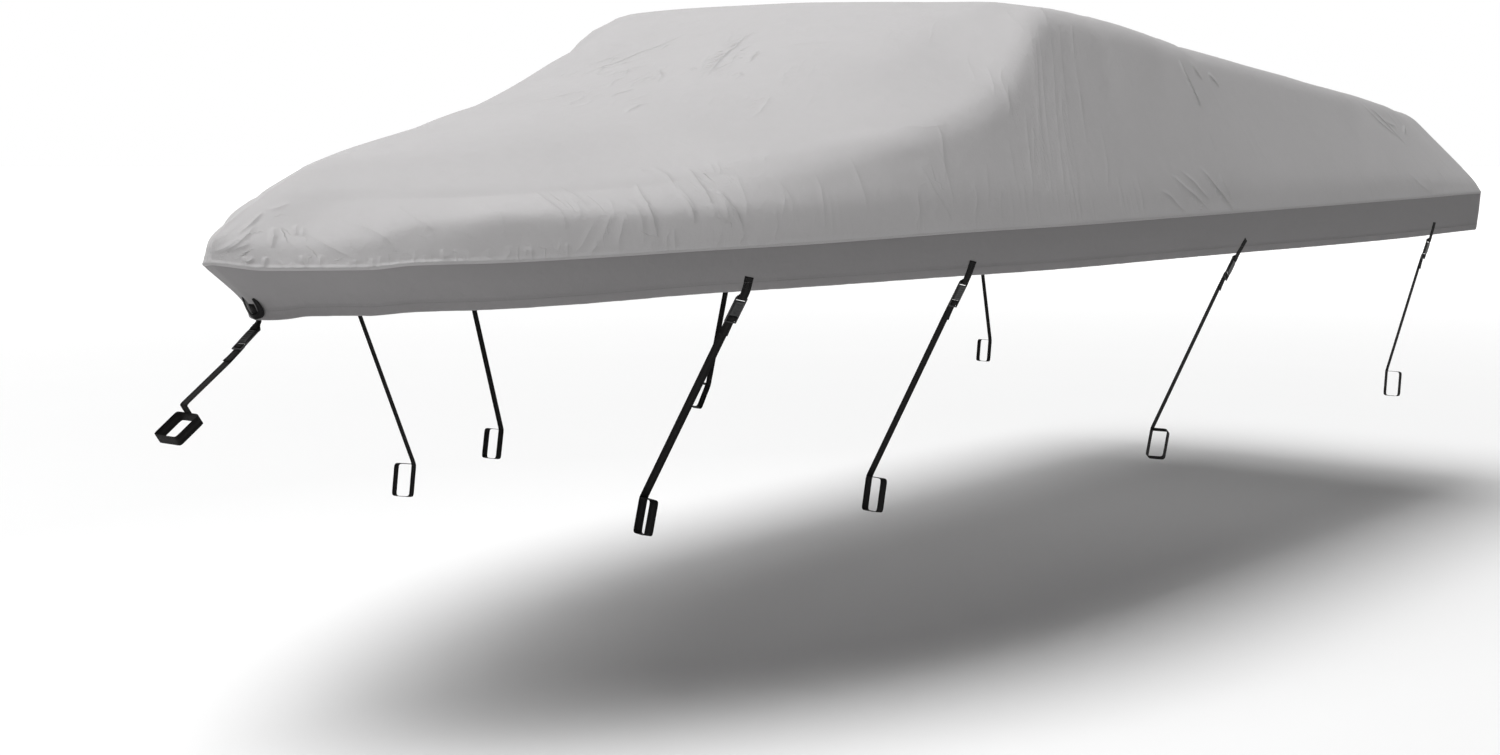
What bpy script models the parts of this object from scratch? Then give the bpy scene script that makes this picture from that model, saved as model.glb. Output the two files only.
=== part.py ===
"""A fitted boat cover, pulled taut, with its tie-down straps.

Frame, in metres: +X runs aft, +Y to starboard and +Z up. Shapes are worked out in station coordinates, where x
counts aft from the stem, y to starboard from the middle line and z up from the floor, and placed() then moves them so
that the origin lies under the middle of the crest, on the inner face of the cloth.

The cloth is two pieces: the top, from the middle line out to the seam at the gunwale, and the skirt from that seam
down to the hem. Both are open surfaces with a thickness. The surface of the top is a loft: at every place along the
half outline a section runs from the spine (the middle line) over a rounded shoulder down to the seam.
"""

import bmesh
import bpy
import numpy as np
from mathutils import Matrix, Vector

# ---------------------------------------------------------------- driving sizes
LENGTH = 5.26                # stem to the transom corners
HALF_BEAM = 1.00
BOW_RUN = 2.30               # how far aft the bow takes to reach full beam
BOW_POWER = 2.1              # fullness of the bow outline aft of the stem
BOW_POINT = 0.80             # 0.5 would be a round bow, 1 a pointed one
AFT_TAPER = 0.03             # how much the half beam loses by the transom
CORNER_RADIUS = 0.20         # of the outline at the transom
TRANSOM_ROUND = 0.03         # how far the middle of the transom stands behind its corners
STEM_EASE = 0.35             # along the outline: closer to the stem than this, the hem is drawn aft, not inwards
STEM_HANG = 1.0              # how much more the top's inner rim hangs down at the stem

CLOTH = 0.002                # thickness of the coated cloth
GAP = 0.0003                 # between pieces that touch
WEBBING = 0.025              # width of the tie-down webbing
WEBBING_THICK = 0.0014

CREST_X = 2.20               # the crest, the cover's highest line, over the origin

# Crown: the middle line of the top. Columns: x, z.
CROWN = np.array([
    (0.40, 1.400), (0.75, 1.462), (1.10, 1.525), (1.35, 1.572), (1.60, 1.650), (1.85, 1.735),
    (2.08, 1.802), (2.25, 1.803), (2.45, 1.783), (2.70, 1.742), (3.06, 1.692), (3.50, 1.642),
    (4.10, 1.572), (4.70, 1.505), (4.90, 1.490),
])

# Seam between top and skirt. Columns: x, z.
SEAM = np.array([
    (0.00, 1.169), (0.07, 1.161), (0.36, 1.175), (1.08, 1.190), (1.73, 1.204),
    (2.30, 1.203), (3.10, 1.199), (4.30, 1.183), (5.25, 1.150),
])

# Skirt. Columns: x, drop from seam to hem, how far the hem is drawn in, and the share of that inset which is made in
# an S curve (the rest comes towards the hem).
SKIRT = np.array([
    (0.00, 0.134, 0.117, 1.0), (0.10, 0.118, 0.070, 0.8), (0.30, 0.104, 0.040, 0.2), (0.50, 0.100, 0.036, 0.0),
    (1.77, 0.120, 0.030, 0.0), (3.08, 0.130, 0.030, 0.0), (5.13, 0.105, 0.030, 0.0),
])

# Sections of the top, from stem to transom. Columns: x where the section meets the seam (past LENGTH it lies on the
# transom), x where it leaves the spine, shoulder's distance in from the seam, shoulder's z, softness of the shoulder,
# and the share of the way out that stays level with the spine.
SECTIONS = np.array([
    (0.000, 0.40, 0.130, 1.312, 0.12, 0.40),
    (0.200, 0.50, 0.120, 1.280, 0.12, 0.40),
    (0.538, 0.66, 0.100, 1.270, 0.10, 0.40),
    (0.900, 0.95, 0.070, 1.315, 0.10, 0.40),
    (1.140, 1.17, 0.060, 1.375, 0.10, 0.42),
    (1.480, 1.50, 0.065, 1.448, 0.10, 0.46),
    (1.750, 1.80, 0.085, 1.505, 0.11, 0.56),
    (2.000, 2.05, 0.150, 1.635, 0.12, 0.64),
    (2.260, 2.28, 0.200, 1.788, 0.12, 0.68),
    (2.700, 2.68, 0.200, 1.737, 0.13, 0.66),
    (3.060, 3.02, 0.200, 1.690, 0.14, 0.66),
    (3.500, 3.45, 0.200, 1.643, 0.14, 0.66),
    (4.200, 4.12, 0.200, 1.567, 0.13, 0.66),
    (4.800, 4.55, 0.230, 1.520, 0.12, 0.66),
    (5.180, 4.70, 0.270, 1.485, 0.12, 0.60),
    (5.262, 4.80, 0.280, 1.480, 0.12, 0.50),
    (5.290, 4.86, 0.215, 1.480, 0.12, 0.50),
])

# Main folds of the top, pressed in along the normal. Columns: x and share of the section (0 spine, 1 seam) at one
# end, the same at the other end, depth (minus is a ridge), and half width.
FOLDS = np.array([
    (2.02, 0.60, 1.92, 0.95, -0.006, 0.070),   # ridge down the corner of the crest
    (2.55, 0.62, 2.40, 0.92, 0.007, 0.060),    # hollow behind that corner
    (3.00, 0.58, 3.10, 0.72, 0.006, 0.060),    # dent below the small bump of the top edge
    (2.95, 0.50, 3.00, 0.56, -0.008, 0.055),   # that bump
    (4.72, 0.62, 4.98, 0.84, 0.009, 0.060),    # crease round the stern's hip
    (0.10, 0.85, 0.32, 0.62, 0.006, 0.055),    # gathers that fan out from the stem
    (0.26, 0.92, 0.50, 0.74, 0.005, 0.050),
    (1.34, 0.80, 1.56, 0.93, 0.005, 0.050),    # kink under the deck edge
    (2.65, 0.92, 2.95, 0.72, 0.005, 0.060),    # drag lines up from the second and third ties
    (4.05, 0.93, 4.35, 0.74, 0.005, 0.060),
])

# Ties on the port side. Columns: x of the tab at the hem, then x, y and z of the upper corner of its loop.
TIES = np.array([
    (0.985, 0.980, -0.407, 0.556),
    (1.645, 1.576, -0.666, 0.556),
    (3.075, 2.775, -0.850, 0.556),
    (4.647, 4.585, -0.840, 0.556),
])
TIE_LOOP = (0.088, 0.052)    # height and depth inside the loop at a tie's lower end
TIE_NICK = 0.005             # its corners are cut by this much

# Rows of the cloth meshes
TOP_COUNT, TOP_LEG = 57, 4             # rows along the half outline, and steps in each of a section's four legs
SKIRT_LEVELS = (0.0, 0.3, 0.6, 1.0)    # from seam to hem
TAB_LEVEL = SKIRT_LEVELS[-2]           # below it the skirt is straight, and tabs are sewn on there
TAB_START = 0.68                       # a tab's upper end
TAB_DROP = 0.021             # from the hem to the bar that the tab carries

# Ladder buckle, in its own frame: u down the strap, v across it, w outboard; u = 0 at the middle of the tab's bar.
BAR = 0.004                  # thickness and width of its bars
BAR_CHAMFER = 0.0012
BUCKLE_LONG = 0.068
BUCKLE_SLOT = WEBBING + 0.0014
BUCKLE_WIDE = BUCKLE_SLOT + 0.007
BODY_U = (0.0085, 0.0465)    # the thicker body, between the tab's slot and the strap's two
BODY_W = (-0.0030, 0.0055)
BODY_WIDE = 0.027
BODY_CHAMFER = 0.0020
GROOVES = (0.0180, 0.0275, 0.0370)     # across the body's face
GROOVE_WIDE, GROOVE_DEEP = 0.0024, 0.0012
SLOTS = [(BAR / 2, BODY_U[0] - 0.002), (0.0480, 0.0540), (0.0580, 0.0640)]   # the tab's, then the strap's two

# Webbing round the bars: w of its middle, and lengths along u
BAND_HALF = WEBBING_THICK / 2
EYE_RADIUS = BAR / 2 + 0.0012 + BAND_HALF      # of the tab's eye round its bar
TAIL_W = -(BAR / 2 + GAP + BAND_HALF)          # the free tail runs behind the buckle's end bar
LOAD_W = TAIL_W - WEBBING_THICK - GAP          # and the loaded strap behind the tail
TAIL_END = 0.105
TAIL_LIFT = 0.0022                             # the tail's free end curls away a little

# The bow's own tie reaches forward and down, and ends in a square loop about a line that leans forward.
LOOP_MIDDLE = np.array([-0.092, 0.0, 0.816])
LOOP_UP = np.array([-0.56, 0.0, 0.83]) / np.hypot(0.56, 0.83)
LOOP_SIDE = 0.075
LOOP_NICK = 0.004
BOW_BAR = (-0.003, -0.020)   # x and z of the bow tab's bar from the hem's tip
BOW_TAB_START = 0.74
ROW_INNER = 0.4              # the bow tab's inner points, as a share of its half width

# The webbing patch sewn round the stem, an upright U. Columns: way along the outline and t of its inner edge, and of
# its outer edge, from the port end to the middle.
BOW_PATCH = np.array([
    (0.0180, 0.63, 0.0250, 0.61),
    (0.0200, 0.70, 0.0350, 0.69),
    (0.0210, 0.80, 0.0400, 0.82),
    (0.0140, 0.87, 0.0300, 0.93),
    (0.0000, 0.90, 0.0000, 0.985),
])

# Colours
TOP_GREY = (0.52, 0.52, 0.525, 1.0)
SKIRT_GREY = (0.16, 0.155, 0.157, 1.0)
WEBBING_BLACK = (0.012, 0.012, 0.013, 1.0)
PLASTIC_BLACK = (0.02, 0.02, 0.02, 1.0)


# ---------------------------------------------------------------- curves through short tables
def smooth(x, xs, values):
    """A cubic through the table's points that never overshoots them."""
    xs, values = np.asarray(xs, float), np.asarray(values, float)
    step = np.diff(xs)
    slope = np.diff(values) / step
    tangent = np.empty_like(values)
    tangent[0], tangent[-1] = slope[0], slope[-1]
    tangent[1:-1] = (slope[:-1] * step[1:] + slope[1:] * step[:-1]) / (step[:-1] + step[1:])
    limit = 3 * np.minimum(np.abs(slope[:-1]), np.abs(slope[1:]))
    inner = np.sign(tangent[1:-1]) * np.minimum(np.abs(tangent[1:-1]), limit)
    tangent[1:-1] = np.where(slope[:-1] * slope[1:] > 0, inner, 0.0)
    x = np.clip(x, xs[0], xs[-1])
    k = np.clip(np.searchsorted(xs, x) - 1, 0, len(step) - 1)
    t = (x - xs[k]) / step[k]
    return (
        (1 + 2 * t) * (1 - t) ** 2 * values[k]
        + t * (1 - t) ** 2 * step[k] * tangent[k]
        + t * t * (3 - 2 * t) * values[k + 1]
        + t * t * (t - 1) * step[k] * tangent[k + 1]
    )


def half_outline():
    """The plan outline of the gunwale, from the stem round to the middle of the transom: x, y and the way along."""
    share = np.linspace(0, 1, 240) ** 2
    bow_x, bow_y = BOW_RUN * share, HALF_BEAM * (1 - (1 - share) ** BOW_POWER) ** BOW_POINT
    side_x = np.linspace(BOW_RUN, LENGTH - CORNER_RADIUS, 60)[1:]
    side_y = HALF_BEAM - AFT_TAPER * ((side_x - BOW_RUN) / (LENGTH - BOW_RUN)) ** 2
    turn = np.linspace(0, np.pi / 2, 24)[1:]
    corner_x = LENGTH - CORNER_RADIUS + CORNER_RADIUS * np.sin(turn)
    corner_y = side_y[-1] - CORNER_RADIUS * (1 - np.cos(turn))
    back_y = np.linspace(corner_y[-1], 0, 40)[1:]
    back_x = LENGTH + TRANSOM_ROUND * (1 - (back_y / corner_y[-1]) ** 2)
    x = np.concatenate([bow_x, side_x, corner_x, back_x])
    y = np.concatenate([bow_y, side_y, corner_y, back_y])
    return x, y, np.concatenate([[0], np.cumsum(np.hypot(np.diff(x), np.diff(y)))])


OUT_X, OUT_Y, OUT_WAY = half_outline()
HALF_GIRTH = OUT_WAY[-1]
BACK_HALF = HALF_BEAM - AFT_TAPER - CORNER_RADIUS     # half of the transom's straight part, nearly
BACK_ROW = 0.7                                        # share of it between the transom's two rows of SECTIONS


def way_at(x):
    """How far along the half outline it reaches x."""
    last = np.argmax(OUT_X >= x)
    return float(np.interp(x, OUT_X[: last + 1], OUT_WAY[: last + 1]))


def section_ways():
    """Where the rows of SECTIONS lie along the half outline."""
    ways = [way_at(row[0]) if row[0] < LENGTH else HALF_GIRTH - BACK_ROW * BACK_HALF for row in SECTIONS]
    ways[0], ways[-1] = 0.0, HALF_GIRTH
    return np.array(ways)


SECTION_WAYS = section_ways()


def crown_z(x):
    return smooth(x, CROWN[:, 0], CROWN[:, 1])


def seam_z(x):
    return smooth(x, SEAM[:, 0], SEAM[:, 1])


ORIGIN = np.array([CREST_X, 0.0, crown_z(CREST_X) - CLOTH])


def placed(points):
    """Station coordinates to the part's own frame."""
    return np.asarray(points) - ORIGIN


def gunwale(way):
    """Points of the seam at these ways along the port half outline, with the inward direction in plan."""
    x, y = np.interp(way, OUT_WAY, OUT_X), np.interp(way, OUT_WAY, OUT_Y)
    reach = 0.012
    ahead, behind = np.clip(way + reach, 0, HALF_GIRTH), np.clip(way - reach, 0, HALF_GIRTH)
    run_x = np.interp(ahead, OUT_WAY, OUT_X) - np.interp(behind, OUT_WAY, OUT_X)
    run_y = np.interp(ahead, OUT_WAY, OUT_Y) - np.interp(behind, OUT_WAY, OUT_Y)
    run_x = np.where((way < reach) | (way > HALF_GIRTH - reach), 0.0, run_x)
    long = np.hypot(run_x, run_y)
    inward = np.stack([run_y / long, run_x / long], axis=-1)
    inward[way > HALF_GIRTH - reach, 0] = -1.0
    return np.stack([x, -y, seam_z(x)], axis=-1), inward


# ---------------------------------------------------------------- the two cloth surfaces, port half
def bend(a, b, c, t):
    """A point of the parabola that leaves a towards b and arrives at c."""
    return (1 - t) ** 2 * a + 2 * t * (1 - t) * b + t * t * c


def section_rows(ways, per_leg):
    """Grid of the top's surface: one section for each way, and 4 * per_leg + 1 points from spine to seam."""
    seam, _ = gunwale(ways)
    table = [smooth(ways, SECTION_WAYS, SECTIONS[:, k]) for k in range(1, 6)]
    spine_x, inset, shoulder_z, soft, level = table
    spine_z = crown_z(spine_x)
    step = 0.001
    crown_slope = (crown_z(spine_x + step) - crown_z(spine_x - step)) / (2 * step)
    out_x, out_y = seam[:, 0] - spine_x, seam[:, 1]
    reach = np.hypot(out_x, out_y)
    to_shoulder = reach - inset
    leave = crown_slope * out_x / reach

    spine = np.stack([0 * reach, spine_z], 1)
    flat = np.stack([level * to_shoulder, spine_z + leave * level * to_shoulder], 1)
    shoulder = np.stack([to_shoulder, shoulder_z], 1)
    foot = np.stack([reach, seam[:, 2]], 1)

    def toward(start, goal):
        leg = goal - start
        length = np.hypot(leg[:, 0], leg[:, 1])
        return start + leg * (np.minimum(soft, 0.49 * length) / length)[:, None]

    over, under = toward(shoulder, flat), toward(shoulder, foot)
    knots = [spine, (flat + over) / 2, (over + shoulder) / 2, (shoulder + under) / 2, foot]
    pulls = [flat, over, shoulder, under]
    rows = [bend(knots[i], pulls[i], knots[i + 1], t)
            for i in range(4) for t in np.arange(per_leg) / per_leg] + [foot]
    out, height = np.moveaxis(np.stack(rows, 1), 2, 0)
    share = out / reach[:, None]
    grid = np.stack([spine_x[:, None] + share * out_x[:, None], share * out_y[:, None], height], 2)
    return grid, share


def grid_normals(grid):
    """Outward unit normals of a grid whose rows run aft and whose columns run from the spine outwards."""
    normal = np.cross(np.gradient(grid, axis=1), np.gradient(grid, axis=0))
    return normal / np.maximum(np.linalg.norm(normal, axis=2, keepdims=True), 1e-9)


def folded(grid, share):
    """Presses the main folds in: each is a soft trough along a straight line, at its deepest halfway."""
    normal = grid_normals(grid)
    x, out = grid[:, :, 0], share
    depth = np.zeros_like(x)
    for x0, s0, x1, s1, deep, half in FOLDS:
        line = np.array([x1 - x0, s1 - s0])
        long = line @ line
        along = ((x - x0) * line[0] + (out - s0) * line[1]) / long
        off = np.abs((x - x0) * line[1] - (out - s0) * line[0]) / np.sqrt(long)
        ends = np.clip(1 - (2 * along - 1) ** 2, 0, 1)
        depth += deep * ends * np.exp(-((off / half) ** 2))
    depth[:, [0, -1]] = 0
    return grid - normal * depth[:, :, None]


def crowded(count):
    """Ways along the half outline, closer together at the stem, the crest's corner and the transom corner."""
    fine = np.linspace(0, HALF_GIRTH, 2000)
    crowd = [(0.0, 0.30, 2.4), (1.3, 0.7, 0.5), (way_at(2.2), 0.35, 0.9), (way_at(LENGTH - 0.03), 0.22, 2.6)]
    density = 1 + sum(extra * np.exp(-(((fine - at) / wide) ** 2)) for at, wide, extra in crowd)
    total = np.concatenate([[0], np.cumsum((density[1:] + density[:-1]) / 2)])
    return np.interp(np.linspace(0, 1, count), total / total[-1], fine)


def top_grid(ways, per_leg):
    """Grid of the top with its folds, its first and last rows and its spine on the middle line."""
    grid, share = section_rows(ways, per_leg)
    grid = folded(grid, share)
    grid[0, :, 1] = 0.0
    grid[-1, :, 1] = 0.0
    grid[:, 0, 1] = 0.0
    return grid


def skirt_point(way, t):
    """Point of the skirt's outer face: t is 0 at the seam and 1 at the hem."""
    way, t = np.broadcast_arrays(np.asarray(way, float), np.asarray(t, float))
    seam, inward = gunwale(way)
    square = np.clip(way / STEM_EASE, 0, 1)[..., None]
    inward = square * inward + (1 - square) * np.array([1.0, 0.0])
    inward = inward / np.linalg.norm(inward, axis=-1, keepdims=True)
    drop, tuck, swing = (smooth(seam[..., 0], SKIRT[:, 0], SKIRT[:, k]) for k in (1, 2, 3))
    inset = tuck * (swing * t * t * (3 - 2 * t) + (1 - swing) * t ** 1.5)
    x = seam[..., 0] + inward[..., 0] * inset
    y = seam[..., 1] + inward[..., 1] * inset
    return np.stack([x, y, seam[..., 2] - drop * t], axis=-1)


def below_rim(ways, top, finer):
    """The skirt's upper edge: the top's edge, lowered so that it stays clear of the top's inner rim.

    That rim hangs below the outer one by the cloth's thickness times the lean of the top's last leg, and by more
    where the outline turns sharply at the stem.
    """
    leg = top[:, -1] - top[:, -2]
    lean = np.hypot(leg[:, 0], leg[:, 1]) / np.linalg.norm(leg, axis=1)
    hang = CLOTH * lean * (1 + STEM_HANG * np.exp(-ways / STEM_EASE))
    edge = top[:, -1] - np.outer(hang + GAP, [0.0, 0.0, 1.0])
    return np.stack([np.interp(finer, ways, edge[:, k]) for k in range(3)], axis=1)


def skirt_grid(ways, levels, upper):
    """Grid of the skirt: its upper edge is given, and the other rows follow the true outline."""
    grid = np.stack([upper] + [skirt_point(ways, t) for t in levels[1:]], axis=1)
    grid[0, :, 1] = 0.0
    grid[-1, :, 1] = 0.0
    return grid


# ---------------------------------------------------------------- meshes and objects
def clear_scene():
    for obj in list(bpy.data.objects):
        bpy.data.objects.remove(obj, do_unlink=True)


def collection(name):
    group = bpy.data.collections.new(name)
    bpy.context.scene.collection.children.link(group)
    return group


def finish(name, colour, roughness):
    material = bpy.data.materials.new(name)
    material.use_nodes = True
    shader = material.node_tree.nodes["Principled BSDF"]
    shader.inputs["Base Color"].default_value = colour
    shader.inputs["Roughness"].default_value = roughness
    shader.inputs["Metallic"].default_value = 0.0
    return material


def add_object(group, name, mesh, material):
    obj = bpy.data.objects.new(name, mesh)
    mesh.materials.clear()
    mesh.materials.append(material)
    group.objects.link(obj)
    return obj


def grid_mesh(name, grid):
    """A mesh of quads over a grid of points."""
    rows, columns = grid.shape[:2]
    index = np.arange(rows * columns).reshape(rows, columns)
    faces = np.stack([index[:-1, :-1], index[:-1, 1:], index[1:, 1:], index[1:, :-1]], axis=-1).reshape(-1, 4)
    mesh = bpy.data.meshes.new(name)
    mesh.from_pydata(grid.reshape(-1, 3).tolist(), [], faces.tolist())
    mesh.update()
    return mesh


def add_cloth(group, name, grid, material):
    """The port half of a cloth piece, mirrored to starboard and given its thickness inwards."""
    obj = add_object(group, name, grid_mesh(name, placed(grid)), material)
    mirror = obj.modifiers.new("both_sides", "MIRROR")
    mirror.use_axis = (False, True, False)
    mirror.use_mirror_merge = True
    mirror.merge_threshold = 0.00005
    wall = obj.modifiers.new("cloth_thickness", "SOLIDIFY")
    wall.thickness = CLOTH
    wall.offset = -1.0
    wall.use_even_offset = True
    obj.data.shade_smooth()
    return obj


def add_band(group, name, grid, material, closed=False):
    """A piece of webbing over a grid of points, its rows along the band, its ends joined where it is closed."""
    rows = np.concatenate([grid, grid[:1]]) if closed else grid
    obj = add_object(group, name, grid_mesh(name, placed(rows)), material)
    if closed:
        weld = obj.modifiers.new("join_ends", "WELD")
        weld.merge_threshold = 0.00005
    wall = obj.modifiers.new("webbing_thickness", "SOLIDIFY")
    wall.thickness = WEBBING_THICK
    wall.offset = 0.0
    wall.use_even_offset = True
    return obj


def band(path, across):
    """Grid of a band of webbing: two points for each point of its path, either side along across."""
    path = np.asarray(path, float)
    side = np.broadcast_to(np.asarray(across, float), path.shape) * WEBBING / 2
    return np.stack([path - side, path + side], axis=1)


# ---------------------------------------------------------------- buckle
def add_box(group, name, low, high, material=None):
    low, high = Vector(low), Vector(high)
    bm = bmesh.new()
    bmesh.ops.create_cube(bm, size=1.0)
    bmesh.ops.scale(bm, vec=high - low, verts=bm.verts)
    bmesh.ops.translate(bm, vec=(low + high) / 2, verts=bm.verts)
    mesh = bpy.data.meshes.new(name)
    bm.to_mesh(mesh)
    bm.free()
    obj = bpy.data.objects.new(name, mesh)
    if material:
        mesh.materials.append(material)
    group.objects.link(obj)
    return obj


def make_cutter(obj):
    obj.hide_render = True
    obj.display_type = "WIRE"


def cut(obj, cutter, operation="DIFFERENCE"):
    step = obj.modifiers.new(operation.lower(), "BOOLEAN")
    step.operation = operation
    step.solver = "EXACT"
    step.object = cutter
    make_cutter(cutter)


def chamfer(obj, width):
    step = obj.modifiers.new("soft_edges", "BEVEL")
    step.width = width
    step.segments = 1
    step.limit_method = "ANGLE"


def buckle_mesh(group, material):
    """Frame plate with three slots, and a thicker ribbed body between the tab's slot and the strap's two."""
    half = BUCKLE_WIDE / 2
    plate = add_box(group, "buckle_plate", (-BAR / 2, -half, -BAR / 2), (BUCKLE_LONG, half, BAR / 2), material)
    chamfer(plate, BAR_CHAMFER)
    for start, end in SLOTS:
        slot = add_box(group, "slot_cutter", (start, -BUCKLE_SLOT / 2, -0.01), (end, BUCKLE_SLOT / 2, 0.01))
        cut(plate, slot)
    body = add_box(group, "buckle_body", (BODY_U[0], -BODY_WIDE / 2, BODY_W[0]),
                   (BODY_U[1], BODY_WIDE / 2, BODY_W[1]))
    chamfer(body, BODY_CHAMFER)
    cut(plate, body, "UNION")
    for u in GROOVES:
        groove = add_box(group, "groove_cutter", (u - GROOVE_WIDE / 2, -BODY_WIDE / 3, BODY_W[1] - GROOVE_DEEP),
                         (u + GROOVE_WIDE / 2, BODY_WIDE / 3, 0.02))
        cut(plate, groove)
    bpy.context.view_layer.update()
    mesh = bpy.data.meshes.new_from_object(plate.evaluated_get(bpy.context.evaluated_depsgraph_get()))
    mesh.name = "buckle"
    bpy.data.objects.remove(plate, do_unlink=True)
    return mesh


# ---------------------------------------------------------------- ties
def unit(vector):
    vector = np.asarray(vector, float)
    return vector / np.linalg.norm(vector)


class TieFrame:
    """Axes of one tie: u down the strap, w outboard and v across, from the bar of its tab."""

    def __init__(self, bar, aim, outward):
        self.bar = np.asarray(bar, float)
        self.u = unit(aim - self.bar)
        self.w = unit(outward - self.u * np.dot(outward, self.u))
        self.v = np.cross(self.w, self.u)

    def out(self, u, w):
        """A point of the tie's plane."""
        return self.bar + self.u * u + self.w * w

    def matrix(self, side):
        """The buckle's placing, on the port side for side = 1 and mirrored to starboard for side = -1."""
        turn = np.array([1.0, side, 1.0])
        down, away = self.u * turn, self.w * turn
        frame = Matrix((down, np.cross(away, down), away)).transposed().to_4x4()
        frame.translation = placed(self.bar * turn)
        return frame


def eye_path(back, rise=0.0):
    """Round the bar: down its outer side, under it and back up its inner side, as u and w.

    The end lies against the webbing that came down, back above the bar and lifted by rise.
    """
    turn = np.linspace(0, np.pi, 7)
    half_turn = [(EYE_RADIUS * np.sin(a), EYE_RADIUS * np.cos(a)) for a in turn]
    closing = [(-0.33 * back, -0.95 * EYE_RADIUS), (-0.68 * back, 0.0008 + 0.4 * rise), (-back, 0.0013 + rise)]
    return half_turn + closing


def buckle_thread():
    """The strap through the buckle, from its free end to the loaded side, as u and w."""
    mid_front = BAR / 2 + GAP + BAND_HALF
    (slot_a, slot_a_end), (slot_b, slot_b_end) = SLOTS[1:]
    b = (slot_b + slot_b_end) / 2 + 0.0008
    a = (slot_a + slot_a_end) / 2 - 0.0006
    return [
        (TAIL_END, TAIL_W + TAIL_LIFT), (TAIL_END - 0.012, TAIL_W + 0.4 * TAIL_LIFT), (0.076, TAIL_W),
        (slot_b_end, TAIL_W), (b, -0.001), (b, 0.0015), (slot_b, mid_front), (slot_a_end, mid_front),
        (a, 0.0015), (a, -0.003), (slot_a_end, LOAD_W), (TAIL_END, LOAD_W),
    ]


def skirt_patch(way, t):
    """A point of the skirt's last leg, as its mesh has it, and the outward normal there."""
    hem, top = skirt_point(way, 1.0), skirt_point(way, TAB_LEVEL)
    share = (t - TAB_LEVEL) / (1 - TAB_LEVEL)
    ahead = skirt_point(way + 0.01, 1.0) - skirt_point(max(way - 0.01, 0.0), 1.0)
    normal = np.cross(hem - top, ahead)
    return top + share * (hem - top), unit(normal)


def tie_loop(corner, across):
    """The loop at a strap's lower end, in its plane, from the upper outer corner round and back to the strap."""
    height, depth = TIE_LOOP
    plumb = np.array([0.0, 0.0, -1.0])
    down = unit(plumb - across * np.dot(plumb, across))
    inboard = np.cross(down, across)
    nick = TIE_NICK
    stops = [
        (0.0, 0.0), (height - nick, 0.0), (height, nick), (height, depth - nick), (height - nick, depth),
        (nick, depth), (0.0, depth - nick), (0.0, BAND_HALF + GAP + 0.0001),
    ]
    return [corner + down * a + inboard * b for a, b in stops]


def side_tie(row):
    """Frame, tab grid and strap grid of one port tie."""
    tab_x, corner = row[0], row[1:4]
    way = way_at(tab_x)
    lift = GAP + BAND_HALF
    hem, normal = skirt_patch(way, 1.0)
    hem = hem + normal * lift
    run = unit(corner - hem)
    frame = TieFrame(hem + run * TAB_DROP - normal * (EYE_RADIUS - 0.001), corner, normal)
    up = hem[2] - skirt_point(way, TAB_START)[2]
    top, top_normal = skirt_patch(way - up * run[0] / run[2], TAB_START)
    tab = [top + top_normal * lift, hem] + [frame.out(u, w) for u, w in eye_path(0.50 * TAB_DROP)]

    thread = [frame.out(u, w) for u, w in buckle_thread()]
    return frame, band(tab, frame.v), band(thread + tie_loop(corner, frame.v), frame.v)


def add_side_ties(group, webbing, plastic, buckle):
    for number, row in enumerate(TIES, start=1):
        frame, tab, strap = side_tie(row)
        for side, word in ((1, "port"), (-1, "starboard")):
            turn = np.array([1.0, side, 1.0])
            add_band(group, f"tie_tab_{word}_{number}", tab * turn, webbing)
            add_band(group, f"tie_strap_{word}_{number}", strap * turn, webbing)
            obj = add_object(group, f"buckle_{word}_{number}", buckle, plastic)
            obj.matrix_world = frame.matrix(side)


# ---------------------------------------------------------------- the bow's tie
def both_sides(port):
    """A row or column of port points, from the middle line outwards, joined to its mirror image."""
    return [p * np.array([1.0, -1.0, 1.0]) for p in port[:0:-1]] + port


def stem_row(t, lift, drop=0.0):
    """Five points across the stem at t on the skirt, lifted off it, and lowered along it by drop."""
    port = []
    for way in (0.0, ROW_INNER * WEBBING / 2, WEBBING / 2):
        spot, normal = skirt_patch(way, t)
        leg = unit(skirt_point(way, 1.0) - skirt_point(way, TAB_LEVEL))
        port.append(spot + normal * lift + leg * drop)
    return both_sides(port)


def bow_patch():
    """Grid of the patch that goes round the stem."""
    rows = []
    for inner_way, inner_t, outer_way, outer_t in BOW_PATCH[::-1]:
        ends = [skirt_patch(inner_way, inner_t), skirt_patch(outer_way, outer_t)]
        rows.append(np.array([spot + normal * (GAP + BAND_HALF) for spot, normal in ends]))
    return np.array(both_sides(rows))


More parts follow.
